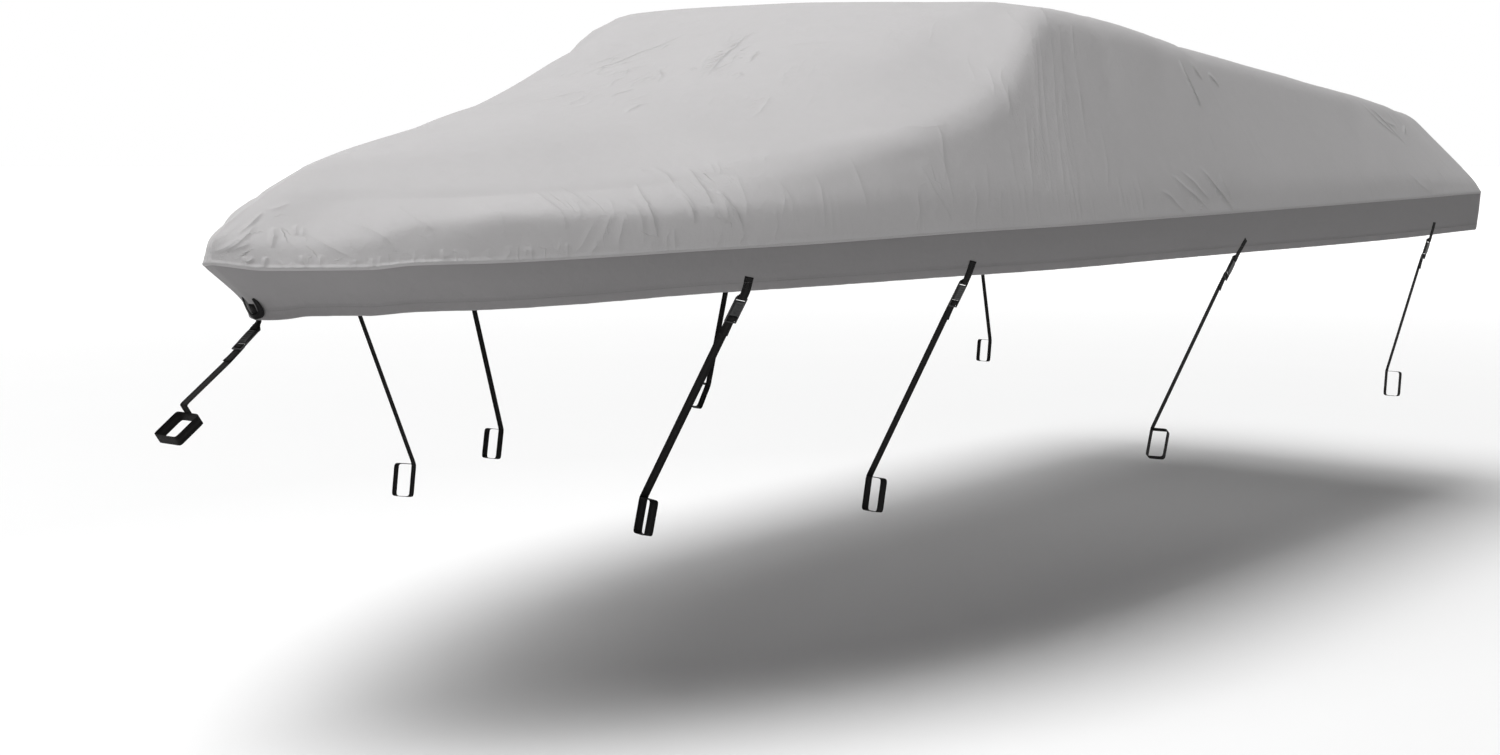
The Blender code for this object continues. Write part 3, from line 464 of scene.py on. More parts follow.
def section_rows(ways, per_leg):
    """Grid of the top: each section is four parabolas from the spine over a rounded shoulder down to the
    seam."""
    seam, _ = gunwale(ways)
    spine_x, inset, shoulder_z, soft, level = [eased(ways, SECTIONS[:, k]) for k in range(1, 6)]
    roll_ways = [way_at(x) if x < LENGTH else HALF_GIRTH for x in ROLL[:, 0]]
    band, amount = [smooth(ways, roll_ways, ROLL[:, k]) for k in (1, 2)]
    spine_z = crown_z(spine_x)
    step = 0.001
    crown_slope = (crown_z(spine_x + step) - crown_z(spine_x - step)) / (2 * step)
    out_x, out_y = seam[:, 0] - spine_x, seam[:, 1]
    reach = np.hypot(out_x, out_y)
    to_shoulder = reach - inset
    leave = crown_slope * out_x / reach

    spine = np.stack([0 * reach, spine_z], 1)
    flat = np.stack([level * to_shoulder, spine_z + leave * level * to_shoulder], 1)
    shoulder = np.stack([to_shoulder, shoulder_z], 1)
    foot = np.stack([reach, seam[:, 2]], 1)

    def toward(start, goal):
        """Where the shoulder's curve ends on a leg: soft metres along it, or just under half of it."""
        leg = goal - start
        length = np.hypot(leg[:, 0], leg[:, 1])
        return start + leg * (np.minimum(soft, 0.49 * length) / length)[:, None]

    over, under = toward(shoulder, flat), toward(shoulder, foot)
    knots = [spine, (flat + over) / 2, (over + shoulder) / 2, (shoulder + under) / 2, foot]
    pulls = [flat, over, shoulder, under]
    rows = [bend(knots[i], pulls[i], knots[i + 1], t)
            for i in range(4) for t in np.arange(per_leg) / per_leg] + [foot]
    out, height = np.moveaxis(np.stack(rows, 1), 2, 0)
    share = out / reach[:, None]
    wide = rolled(out, height, seam[:, 2], inset, shoulder_z, band, amount) / reach[:, None]
    wide[:, -1] = 1.0
    grid = np.stack([spine_x[:, None] + wide * out_x[:, None], wide * out_y[:, None], height], 2)
    return grid, share


def grid_normals(grid):
    """Outward unit normals of a grid whose rows run aft and whose columns run from the spine outwards."""
    normal = np.cross(np.gradient(grid, axis=1), np.gradient(grid, axis=0))
    return normal / np.maximum(np.linalg.norm(normal, axis=2, keepdims=True), 1e-9)


def folded(grid, share):
    """Presses the main folds in: each is a Gaussian trough along a straight line, at its deepest halfway."""
    x = grid[:, :, 0]
    depth = np.zeros_like(x)
    for x0, s0, x1, s1, deep, half in FOLDS:
        line = np.array([x1 - x0, s1 - s0])
        long = line @ line
        along = ((x - x0) * line[0] + (share - s0) * line[1]) / long
        off = np.abs((x - x0) * line[1] - (share - s0) * line[0]) / np.sqrt(long)
        depth += deep * np.clip(1 - (2 * along - 1) ** 2, 0, 1) * np.exp(-((off / half) ** 2))
    depth[:, [0, -1]] = 0
    return grid - grid_normals(grid) * depth[:, :, None]


def resampled(grid, share, columns):
    """The same sections with their points set out by length along each section, closer together near the
    seam."""
    step = np.linalg.norm(np.diff(grid, axis=1), axis=2)
    length = np.concatenate([np.zeros((len(grid), 1)), np.cumsum(step, axis=1)], axis=1)
    place = length / length[:, -1:]
    t = np.linspace(0, 1, columns)
    even = 1.45 * t - 0.45 * t ** 2.2
    even = even / even[-1]
    both = np.concatenate([grid, share[:, :, None], length[:, :, None]], axis=2)
    out = np.empty((len(grid), columns, 5))
    for row in range(len(grid)):
        for k in range(5):
            out[row, :, k] = np.interp(even, place[row], both[row, :, k])
    return out[:, :, :3], out[:, :, 3], out[:, :, 4]


def top_half(ways, columns):
    """Port half of the top without its fine creases: points, share across, and length across in metres."""
    grid, share = section_rows(ways, SECTION_STEPS)
    grid = folded(grid, share)
    grid[[0, -1], :, 1] = 0.0
    grid[:, 0, 1] = 0.0
    return resampled(grid, share, columns)


# ---------------------------------------------------------------- the skirt's surface, port half
def skirt_point(way, t):
    """Point of the skirt's outer face: t is 0 at the seam and 1 at the hem, and the inset grows as t^1.5,
    or at the stem as a sine to the power 1.25."""
    way, t = np.broadcast_arrays(np.asarray(way, float), np.asarray(t, float))
    seam, inward = gunwale(way)
    square = np.clip(way / STEM_EASE, 0, 1)[..., None]
    inward = square * inward + (1 - square) * np.array([1.0, 0.0])
    inward = inward / np.linalg.norm(inward, axis=-1, keepdims=True)
    drop, tuck, swing = (smooth(seam[..., 0], SKIRT[:, 0], SKIRT[:, k]) for k in (1, 2, 3))
    arch = np.sin(np.pi / 2 * np.clip(t, 0, 1.3)) ** 1.25
    inset = tuck * (swing * arch + (1 - swing) * np.abs(t) ** 1.5)
    x = seam[..., 0] + inward[..., 0] * inset
    y = seam[..., 1] + inward[..., 1] * inset
    return np.stack([x, y, seam[..., 2] - drop * t], axis=-1)


def skirt_frame(way, t):
    """Skirt points with their outward normals and the skirt's depth there, from seam to hem."""
    way, t = np.broadcast_arrays(np.asarray(way, float), np.asarray(t, float))
    reach = 0.008
    down = skirt_point(way, t + 0.02) - skirt_point(way, t - 0.02)
    aft = skirt_point(np.minimum(way + reach, HALF_GIRTH), t) - skirt_point(np.maximum(way - reach, 0), t)
    aft[way < reach] *= np.array([0.0, 1.0, 0.0])
    aft[way > HALF_GIRTH - reach] *= np.array([0.0, 1.0, 0.0])
    normal = np.cross(down, aft)
    normal /= np.linalg.norm(normal, axis=-1, keepdims=True)
    depth = smooth(gunwale(way)[0][..., 0], SKIRT[:, 0], SKIRT[:, 1])
    return skirt_point(way, t), normal, depth


def skirt_patch(way, t):
    """A point near the hem, where the skirt is straight, and the outward normal there."""
    hem, top = skirt_point(way, 1.0), skirt_point(way, TAB_LEVEL)
    ahead = skirt_point(way + 0.01, 1.0) - skirt_point(max(way - 0.01, 0.0), 1.0)
    return top + (t - TAB_LEVEL) / (1 - TAB_LEVEL) * (hem - top), unit(np.cross(hem - top, ahead))


# ---------------------------------------------------------------- meshes
def unit(vector):
    """The vector over its own length."""
    vector = np.asarray(vector, float)
    return vector / np.linalg.norm(vector)


def loop_of(port, starboard):
    """Rows of both halves as one loop: from the stem aft to port, and from the transom forward to
    starboard."""
    return np.concatenate([port, starboard[-2:0:-1]])


def mirrored(points):
    """The points on the other side of the middle plane: y changes its sign."""
    return points * np.array([1.0, -1.0, 1.0])


def numbered(rows, columns):
    """Vertex numbers of a grid of points."""
    return np.arange(rows * columns).reshape(rows, columns)


def loop_faces(index, closed=True):
    """Quads over a grid of vertex numbers whose rows close into a loop."""
    after = np.roll(index, -1, axis=0) if closed else index[1:]
    index = index if closed else index[:-1]
    return np.stack([index[:, :-1], index[:, 1:], after[:, 1:], after[:, :-1]], axis=-1).reshape(-1, 4)


def vertex_normals(points, quads):
    """Unit normals at the vertices: the sum of the cross products of the diagonals of the quads round
    each."""
    face = np.cross(points[quads[:, 2]] - points[quads[:, 0]], points[quads[:, 3]] - points[quads[:, 1]])
    total = np.zeros_like(points)
    for k in range(3):
        total[:, k] = np.bincount(quads.ravel(), np.repeat(face[:, k], 4), len(points))
    return total / np.maximum(np.linalg.norm(total, axis=1, keepdims=True), 1e-12)


def new_piece(name, points, faces, material, replaces=(), uv=None, marks=None, flat=False):
    """One finished object at the origin: points in the frame's coordinates, quads and triangles, and a UV
    map.

    uv holds two numbers for each vertex, and marks holds named values for each vertex.
    """
    if isinstance(faces, list):
        counts = np.array([len(face) for face in faces])
        corners = np.concatenate([np.asarray(face) for face in faces])
    else:
        counts = np.full(len(faces), faces.shape[1])
        corners = faces.ravel()
    used, corners = np.unique(corners, return_inverse=True)
    mesh = bpy.data.meshes.new(name)
    mesh.vertices.add(len(used))
    mesh.vertices.foreach_set("co", np.asarray(points)[used].astype(np.float32).ravel())
    mesh.loops.add(len(corners))
    mesh.loops.foreach_set("vertex_index", corners.astype(np.int32))
    mesh.polygons.add(len(counts))
    mesh.polygons.foreach_set("loop_start", (np.cumsum(counts) - counts).astype(np.int32))
    mesh.update(calc_edges=True)
    if uv is not None:
        layer = mesh.uv_layers.new(name="cloth")
        layer.data.foreach_set("uv", np.asarray(uv)[used][corners].astype(np.float32).ravel())
    for key, values in (marks or {}).items():
        mark = mesh.attributes.new(key, "FLOAT", "POINT")
        mark.data.foreach_set("value", np.asarray(values)[used].astype(np.float32))
    mesh.validate()
    if not flat:
        mesh.shade_smooth()
    mesh.materials.append(material)
    obj = bpy.data.objects.new(name, mesh)
    bpy.context.scene.collection.objects.link(obj)
    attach(obj, "root")
    if replaces:
        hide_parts(*replaces)
    return obj


# ---------------------------------------------------------------- creases
def crease_line(spots, share, order, row, steps=9):
    """A crease's line on the surface: a parabola in x and share, each point taken from the nearest mesh
    point.

    order sorts the mesh points by x, and only those near the crease in x are searched."""
    x0, s0, x1, s1, bulge = row[:5]
    t = np.linspace(0, 1, steps)
    side = 4 * t * (1 - t) * bulge
    x = x0 + (x1 - x0) * t - (s1 - s0) * side
    s = s0 + (s1 - s0) * t + (x1 - x0) * side
    first, last = np.searchsorted(spots[order, 0], (x.min() - 0.04, x.max() + 0.04))
    near = order[first:last]
    half = 9.0 * ((share[near, None] < 0) != (s < 0)[None])
    line = spots[near[((spots[near, :1] - x) ** 2 + (share[near, None] - s) ** 2 + half).argmin(0)]]
    line[1:-1] = (line[:-2] + 2 * line[1:-1] + line[2:]) / 4
    keep = np.concatenate([[True], np.linalg.norm(np.diff(line, axis=0), axis=1) > 1e-4])
    return line[keep]


def beside(points, normal, line, reach):
    """Which points lie within reach of a line, how far across it they are, with a sign, and how far along
    it."""
    near = np.flatnonzero(np.all((points > line.min(0) - reach) & (points < line.max(0) + reach), axis=1))
    leg = np.diff(line, axis=0)
    rel = points[near][:, None] - line[None, :-1]
    t = np.clip((rel * leg).sum(2) / (leg * leg).sum(1), 0, 1)
    off = rel - t[..., None] * leg
    gap = np.linalg.norm(off, axis=2)
    k = gap.argmin(1)
    row = np.arange(len(k))
    side = np.sign((np.cross(normal[near], leg[k]) * off[row, k]).sum(1))
    return near, np.where(side == 0, 1, side) * gap[row, k], (k + t[row, k]) / len(leg)


def fade(along):
    """A crease's strength along its length: a half sine to the power 0.7."""
    return np.maximum(np.sin(np.pi * np.clip(along, 0, 1)), 0) ** 0.7


def crease_rows(rng):
    """Every crease to port as the table has it, the scattered ones at random places of their bands, and to
    starboard the same ones shifted and weakened at random."""
    rows = [row for family in CREASES.values() for row in family]
    for x0, x1, s0, s1, run, rise, count, height, half in SCATTERED:
        for _ in range(int(count)):
            x, s = rng.uniform(x0, x1), rng.uniform(s0, s1)
            size = rng.uniform(0.5, 1.2)
            step = size * np.array([run, rise]) + rng.normal(0, 0.12, 2) * np.hypot(run, rise)
            end = min(s + step[1], 1.0) if s > 0 else s + step[1]
            rows.append((x, s, x + step[0], end, rng.normal(0, 0.06), height * rng.uniform(0.5, 1.2), half))
    for x0, s0, x1, s1, bulge, height, half in list(rows):
        drift = rng.normal(0, 0.02, 2) * (1, 0 if max(s0, s1) > 0.94 else 1)
        rows.append((
            max(x0 + drift[0], 0.012), -s0 - drift[1],
            max(x1 + drift[0], 0.012), -s1 - drift[1],
            -bulge, height * rng.uniform(0.6, 1.1), half * rng.uniform(0.9, 1.2),
        ))
    return rows


def creased(points, normal, share, rows, strength):
    """Lift of all creases, and the marks from which the material draws their sharp ridges and paints shade
    along them.

    The lift of each is a Gaussian crest between two shallow troughs. The marks are three pairs of the
    distance across the nearest crease in millimetres and its height there, and creases close together go to
    different pairs.
    """
    lift = np.zeros(len(points))
    across = np.full((MARK_PAIRS, len(points)), NO_CREASE)
    height = np.zeros((MARK_PAIRS, len(points)))
    middles = [[] for _ in range(MARK_PAIRS)]
    order = np.argsort(points[:, 0])
    for row in rows:
        line = crease_line(points, share, order, row)
        if len(line) < 3:
            continue
        high, half = row[5] * strength, row[6] * 0.001
        near, gap, along = beside(points, normal, line, max(4 * half, CREASE_REACH))
        shape = fade(along)
        off = gap / half
        crest, trough = np.exp(-off * off), np.exp(-((off / 2.0) ** 2))
        lift[near] += CREASE_LIFT * high * shape * (crest - TROUGH * trough)
        middle = line[len(line) // 2]
        room = [min((np.linalg.norm(middle - other) for other in taken), default=9.0) for taken in middles]
        k = int(np.argmax(room))
        middles[k].append(middle)
        closer = np.abs(gap) * 1000 < np.abs(across[k, near])
        window = 1 - ramp(np.abs(gap), *RIDGE_FADE)
        across[k, near[closer]] = (gap * 1000)[closer]
        height[k, near[closer]] = (high * shape * window)[closer]
    return lift, across, height


def undulation(points, rng, waves=14, amplitude=0.0006):
    """Slow waves of taut cloth: a sum of sines of the place in space, 0.25 to 0.8 m long."""
    total = np.zeros(len(points))
    for _ in range(waves):
        direction = unit(rng.normal(0, 1, 3) * np.array([1.0, 1.0, 0.8]))
        length = rng.uniform(0.25, 0.8)
        total += np.sin(points @ direction * (2 * np.pi / length) + rng.uniform(0, 2 * np.pi)) * length
    return total * amplitude


def lap_profile(way, steps, over):
    """The top's edge where it laps over the skirt: points down the skirt, standing off it by a little."""
    seam, _ = gunwale(way)
    depth = smooth(seam[:, 0], SKIRT[:, 0], SKIRT[:, 1])
    columns = []
    for k in range(1, steps + 1):
        spot, normal, _ = skirt_frame(way, over * k / steps / depth)
        stand = 0.0008 if k < steps else 0.0006
        columns.append(spot + normal * stand)
    return np.stack(columns, axis=1)


def top_surface(look):
    """Points, vertex numbers, UV and crease marks of the whole top: the halves share the spine, stem and
    transom."""
    ways = crowded(TOP_ROWS)
    port, share, across = top_half(ways, TOP_COLUMNS)
    lap = lap_profile(ways, LAP_STEPS, look.lap)
    port = np.concatenate([port, lap], axis=1)
    port[[0, -1], :, 1] = 0.0
    extra = across[:, -1:] + look.lap * np.arange(1, LAP_STEPS + 1) / LAP_STEPS
    across = np.concatenate([across, extra], axis=1)
    share = np.concatenate([share, np.ones((TOP_ROWS, LAP_STEPS))], axis=1)
    spine_x = port[:, :1, 0]
    along = (1 - share) * spine_x + share * ways[:, None]

    loop = loop_of(port, mirrored(port))
    index = numbered(*loop.shape[:2])
    index[TOP_ROWS:, 0] = index[TOP_ROWS - 2:0:-1, 0]
    points = loop.reshape(-1, 3)
    share = loop_of(share, -share).ravel()
    uv = np.stack([loop_of(along, along).ravel(), loop_of(across, -across).ravel()], axis=1)

    rng = np.random.default_rng(SEED)
    normal = vertex_normals(points, loop_faces(index))
    lift, gap, high = creased(points, normal, share, crease_rows(rng), look.crease)
    marks = {f"across_{k}": values for k, values in enumerate(gap)}
    marks |= {f"height_{k}": values for k, values in enumerate(high)}
    edge = 1 - ramp(np.abs(share), 0.985, 1.0)
    lift = lift * (0.35 + 0.65 * edge) + undulation(points, rng) * edge * look.crease
    on_lap = np.zeros(loop.shape[:2], bool)
    on_lap[:, TOP_COLUMNS:] = True
    lift[on_lap.ravel()] = 0.0
    lift = np.where(np.abs(share) > 0.9999, np.maximum(lift, 0), lift)
    settle = 0.0008 * ramp(np.abs(share), 0.93, 1.0) * ~on_lap.ravel()
    # The material paints the cloth lighter where this lift is high and darker where it is low: painted
    # highlight on the crests of the creases and painted shade in their troughs.
    marks["crease"] = lift
    return points + normal * (lift + settle)[:, None], index, uv, marks


def joining(fine, coarse):
    """Triangles between a line of points and another with every second one, each pair of steps taking
    three."""
    a, b, c, low, next_low = fine[:-2:2], fine[1::2], fine[2::2], coarse[:-1], coarse[1:]
    return np.concatenate([np.stack(t, 1) for t in ((a, b, low), (b, next_low, low), (b, c, next_low))])


def outer_faces(index):
    """Faces of the outer side: all columns to port, and every second one to starboard, joined at stem and
    transom."""
    half = TOP_ROWS
    port = loop_faces(index[:half], closed=False)
    other = index[half:, ::2]
    starboard = loop_faces(other, closed=False)
    back = joining(index[half - 1], other[0])
    front = joining(index[0], other[-1])[:, ::-1]
    return list(port) + list(starboard) + list(back) + list(front)


def with_inner_face(points, index, thickness):
    """Faces of a cloth with two sides: the outer grid, every second point of it set inwards, and their
    joined rims."""
    normal = vertex_normals(points, loop_faces(index))
    coarse = index[::2, ::2]
    under = points[coarse] - normal[coarse] * thickness
    first = len(points)
    number = first + np.arange(coarse.size).reshape(coarse.shape)
    number[len(coarse) // 2 + 1:, 0] = number[len(coarse) // 2 - 1:0:-1, 0]
    inner = loop_faces(number)[:, ::-1]
    rim, mid, far = index[::2, -1], index[1::2, -1], np.roll(index[::2, -1], -1)
    low, next_low = number[:, -1], np.roll(number[:, -1], -1)
    joints = ((rim, low, mid), (mid, low, next_low), (mid, next_low, far))
    edge = np.concatenate([np.stack(corners, 1) for corners in joints])
    faces = outer_faces(index) + list(inner) + list(edge)
    return np.concatenate([points, under.reshape(-1, 3)]), faces, coarse


# ---------------------------------------------------------------- bands of webbing
class TieFrame:
    """Axes of one tie: u down the strap, w outboard and v across, from the bar of its tab."""

    def __init__(self, bar, aim, outward):
        self.bar = np.asarray(bar, float)
        self.u = unit(aim - self.bar)
        self.w = unit(outward - self.u * np.dot(outward, self.u))
        self.v = np.cross(self.w, self.u)

    def out(self, u, w):
        """A point of the tie's plane."""
        return self.bar + self.u * u + self.w * w


def eye_path(back, rise=0.0):
    """Round the bar: down its outer side, under it and back up its inner side, as u and w."""
    turn = np.linspace(0, np.pi, 9)
    half_turn = [(EYE_RADIUS * np.sin(a), EYE_RADIUS * np.cos(a)) for a in turn]
    closing = [
        (-0.33 * back, -0.95 * EYE_RADIUS), (-0.68 * back, 0.0008 + 0.4 * rise), (-back, 0.0013 + rise),
    ]
    return half_turn + closing


def buckle_thread():
    """The strap through the buckle, from its free end to the loaded side, as u and w."""
    mid_front = BAR / 2 + GAP + BAND_HALF
    (slot_a, slot_a_end), (slot_b, slot_b_end) = SLOTS
    b = (slot_b + slot_b_end) / 2 + 0.0008
    a = (slot_a + slot_a_end) / 2 - 0.0006
    return [
        (TAIL_END, TAIL_W + TAIL_LIFT), (TAIL_END - 0.012, TAIL_W + 0.4 * TAIL_LIFT), (0.076, TAIL_W),
        (slot_b_end, TAIL_W), (b, -0.001), (b, 0.0015), (slot_b, mid_front), (slot_a_end, mid_front),
        (a, 0.0015), (a, -0.003), (slot_a_end, LOAD_W), (TAIL_END, LOAD_W),
    ]


def tie_loop(corner, across):
    """The loop at a strap's lower end, in its plane, from the upper outer corner round and back to the
    strap."""
    height, depth = TIE_LOOP
    plumb = np.array([0.0, 0.0, -1.0])
    down = unit(plumb - across * np.dot(plumb, across))
    inboard = np.cross(down, across)
    nick = 0.005
    stops = [
        (0.0, 0.0), (height - nick, 0.0), (height, nick), (height, depth - nick), (height - nick, depth),
        (nick, depth), (0.0, depth - nick), (0.0, BAND_HALF + GAP + 0.0001),
    ]
    return [corner + down * a + inboard * b for a, b in stops]


def rounded_path(path, rounds=2, closed=False):
    """Cuts each corner of a path at a quarter and three quarters of its legs, at most 4 mm from the
    corner."""
    path = np.asarray(path, float)
    for _ in range(rounds):
        ahead = np.roll(path, -1, axis=0) if closed else path[1:]
        start = path if closed else path[:-1]
        leg = ahead - start
        length = np.linalg.norm(leg, axis=1, keepdims=True)
        share = np.minimum(0.25, 0.004 / np.maximum(length, 1e-9))
        near, far = start + leg * share, ahead - leg * share
        if not closed:
            near[0], far[-1] = path[0], path[-1]
        path = np.stack([near, far], 1).reshape(-1, 3)
    return path


def divided(path, step):
    """The path with points no further apart than step."""
    out = [path[0]]
    for a, b in zip(path[:-1], path[1:]):
        parts = max(1, int(np.ceil(np.linalg.norm(b - a) / step)))
        out += [a + (b - a) * k / parts for k in range(1, parts + 1)]
    return np.array(out)


def band_shape(path, across, width=WEBBING, thickness=WEBBING_THICK, closed=False):
    """A band carried along a path: a flat profile with round edges, set square to the path at each point.

    Gives points, quads, end faces and UV, with u across from -0.5 to 0.5 and v along in metres.
    """
    ahead = np.roll(path, -1, axis=0) - np.roll(path, 1, axis=0)
    if not closed:
        ahead[0], ahead[-1] = path[1] - path[0], path[-1] - path[-2]
    across = np.broadcast_to(np.asarray(across, float), path.shape)
    normal = np.cross(ahead, across)
    normal /= np.linalg.norm(normal, axis=1, keepdims=True)
    half, thick = width / 2, thickness / 2
    inner = half - thick
    turn = np.radians([-60, -20, 20, 60])
    edge = [(inner + thick * np.cos(a), thick * np.sin(a)) for a in turn]
    flats = [(inner * k / 3, thick) for k in (3, 1.5, 0, -1.5, -3)]
    profile = np.array(edge + flats + [(-a, -b) for a, b in edge] + [(-a, -b) for a, b in flats])
    points = path[:, None] + across[:, None] * profile[None, :, :1] + normal[:, None] * profile[None, :, 1:]
    index = numbered(*points.shape[:2])
    index = np.concatenate([index, index[:, :1]], axis=1)
    quads = loop_faces(index, closed)
    length = np.concatenate([[0], np.cumsum(np.linalg.norm(np.diff(path, axis=0), axis=1))])
    uv = np.stack(np.broadcast_arrays(profile[None, :, 0] / width, length[:, None]), axis=-1).reshape(-1, 2)
    ends = [] if closed else [index[0, :-1][::-1], index[-1, :-1]]
    return points.reshape(-1, 3), [np.array(q) for q in quads] + ends, uv


def joined(shapes):
    """Several point, face and UV sets as one."""
    points, faces, uvs, first = [], [], [], 0
    for part_points, part_faces, part_uv in shapes:
        points.append(part_points)
        faces += [np.asarray(face) + first for face in part_faces]
        uvs.append(part_uv)
        first += len(part_points)
    return np.concatenate(points), faces, np.concatenate(uvs)


def side_tie(row):
    """Frame, tab path, strap path and skirt normal of one port tie."""
    tab_x, corner = row[0], row[1:4]
    way = way_at(tab_x)
    lift = GAP + BAND_HALF
    hem, normal = skirt_patch(way, 1.0)
    hem = hem + normal * lift
    run = unit(corner - hem)
    tie = TieFrame(hem + run * TAB_DROP - normal * (EYE_RADIUS - 0.001), corner, normal)
    up = hem[2] - skirt_point(way, TAB_START)[2]
    top, top_normal = skirt_patch(way - up * run[0] / run[2], TAB_START)
    tab = [top + top_normal * lift, hem] + [tie.out(u, w) for u, w in eye_path(0.50 * TAB_DROP)]
    strap = [tie.out(u, w) for u, w in buckle_thread()] + tie_loop(corner, tie.v)
    return tie, np.array(tab), np.array(strap), normal


# ---------------------------------------------------------------- stitches
def stitch_row(path, normals, pitch=0.0045, long=0.0034, thick=0.0005):
    """Stitches along a path: each is a small lens with two rings of four points, its middle standing on the
    path.

    Gives points, faces and UV."""
    leg = np.linalg.norm(np.diff(path, axis=0), axis=1)
    way = np.concatenate([[0], np.cumsum(leg)])
    count = max(1, int(way[-1] / pitch))
    middle = (np.arange(count) + 0.5) * way[-1] / count
    at = np.stack([np.interp(middle, way, path[:, k]) for k in range(3)], 1)
    up = np.stack([np.interp(middle, way, normals[:, k]) for k in range(3)], 1)
    ahead = np.stack([np.interp(middle + 0.001, way, path[:, k]) - np.interp(middle - 0.001, way, path[:, k])
                      for k in range(3)], 1)
    ahead /= np.linalg.norm(ahead, axis=1, keepdims=True)
    side = np.cross(up, ahead)
    side /= np.linalg.norm(side, axis=1, keepdims=True)
    turn = np.radians([0, 90, 180, 270])
    ring = [(a, np.cos(t) * thick, np.sin(t) * thick) for a in (-0.28, 0.28) for t in turn]
    local = np.array([(-0.5, 0, -thick * 0.6)] + ring + [(0.5, 0, -thick * 0.6)])
    points = (at[:, None] + ahead[:, None] * local[None, :, :1] * long + side[:, None] * local[None, :, 1:2]
              + up[:, None] * local[None, :, 2:])
    around = [(k, (k + 1) % 4) for k in range(4)]
    quads = np.array([(1 + k, 1 + after, 5 + after, 5 + k) for k, after in around])
    triangles = np.array([(0, 1 + after, 1 + k) for k, after in around]
                         + [(5 + k, 5 + after, 9) for k, after in around])
    first = (np.arange(count) * len(local))[:, None, None]
    faces = list((quads[None] + first).reshape(-1, 4)) + list((triangles[None] + first).reshape(-1, 3))
    return points.reshape(-1, 3), faces, np.zeros((count * len(local), 2))


# ---------------------------------------------------------------- buckle
def superellipse(a, b, power, count):
    """Points of |x/a|^p + |y/b|^p = 1, counter-clockwise."""
    turn = np.linspace(0, 2 * np.pi, count, endpoint=False)
    c, s = np.cos(turn), np.sin(turn)
    return np.stack([a * np.sign(c) * np.abs(c) ** (2 / power), b * np.sign(s) * np.abs(s) ** (2 / power)], 1)


def bar_shape(start, end, wide, thick, count=16):
    """A bar in the buckle's u, v, w: a superellipse profile carried from start to end, with domed ends."""
    start, end = np.array(start, float), np.array(end, float)
    axis = unit(end - start)
    side = unit(np.cross(axis, (0.0, 0.0, 1.0)))
    up = np.cross(side, axis)
    long = np.linalg.norm(end - start)
    dome = min(wide, thick) * 0.35
    stations = [
        (0, 0.55), (dome * 0.4, 0.86), (dome, 1), (long - dome, 1), (long - dome * 0.4, 0.86), (long, 0.55),
    ]
    profile = superellipse(wide / 2, thick / 2, 3.2, count)
    points = np.stack([start + axis * at + (side * profile[:, :1] + up * profile[:, 1:]) * scale
                       for at, scale in stations])
    index = numbered(len(stations), count)
    ring = np.concatenate([index, index[:, :1]], axis=1)
    faces = [np.array(q)[::-1] for q in loop_faces(ring, closed=False)]
    faces += [index[0], index[-1][::-1]]
    flat = points.reshape(-1, 3)
    return flat, faces, flat[:, :2]


def body_shape(rows=56, columns=28):
    """The buckle's body: a cushion over u and v whose height is a superellipse dome with grip grooves
    across it."""
    u0, u1 = BODY_U
    s, t = np.linspace(-1, 1, rows), np.linspace(-1, 1, columns)
    s, t = np.sign(s) * (1 - (1 - np.abs(s)) ** 1.7), np.sign(t) * (1 - (1 - np.abs(t)) ** 1.7)
    su, tv = np.meshgrid(s, t, indexing="ij")
    dome = np.clip(1 - np.abs(su) ** 7, 0, 1) ** 0.35 * np.clip(1 - np.abs(tv) ** 7, 0, 1) ** 0.35
    u = (u0 + u1) / 2 + su * (u1 - u0) / 2
    v = tv * BODY_WIDE / 2
    middle = (BODY_W[0] + BODY_W[1]) / 2
    groove = sum(np.exp(-(((u - at) / 0.0012) ** 4)) for at in GROOVES)
    face = np.clip(1 - (np.abs(tv) / 0.72) ** 8, 0, 1)
    high = middle + dome * (BODY_W[1] - middle) - 0.0013 * groove * face * dome
    low = middle + dome * (BODY_W[0] - middle)
    upper = np.stack([u, v, high], 2)
    lower = np.stack([u, v, low], 2)[::-1]
    points = np.concatenate([upper, lower[1:-1]]).reshape(-1, 3)
    index = np.arange(len(points)).reshape(-1, columns)
    faces = [np.array(q)[::-1] for q in loop_faces(index)]
    return points, faces, points[:, :2]


def buckle_shape():
    """The whole ladder buckle in u, v, w: two rails, three bars, a strip along each side of the body, and the
    body.
    """
    half = BUCKLE_WIDE / 2
    parts = [body_shape()]
    for side in (-1, 1):
        v = side * (half - RAIL_WIDE / 2)
        parts.append(bar_shape((-BAR / 2, v, 0), (BUCKLE_LONG, v, 0), RAIL_WIDE, BAR))
        v = side * (half - RAIL_WIDE - 0.0012)
        ends = [(BODY_U[0] + 0.001, v, 0.0002), (BODY_U[1] - 0.001, v, 0.0002)]
        parts.append(bar_shape(*ends, 0.0045, 0.0030))
    inner = half - RAIL_WIDE + 0.0012
    for u in (0.0, MID_BAR_U, BUCKLE_LONG - BAR / 2):
        parts.append(bar_shape((u, -inner, 0), (u, inner, 0), BAR, BAR))
    return joined(parts)


def set_in(shape, tie, side):
    """A shape from a tie's own axes to the frame's, mirrored to starboard where side is -1."""
    points, faces, uv = shape
    moved = tie.bar + points[:, :1] * tie.u + points[:, 1:2] * tie.v + points[:, 2:] * tie.w
    if side < 0:
        moved = mirrored(moved)
        faces = [np.asarray(face)[::-1] for face in faces]
    return placed(moved), faces, uv


def on_side(shape, side):
    """A port shape in station coordinates, placed, and mirrored to starboard where side is -1."""
    points, faces, uv = shape
    if side < 0:
        points, faces = mirrored(points), [np.asarray(face)[::-1] for face in faces]
    return placed(points), faces, uv


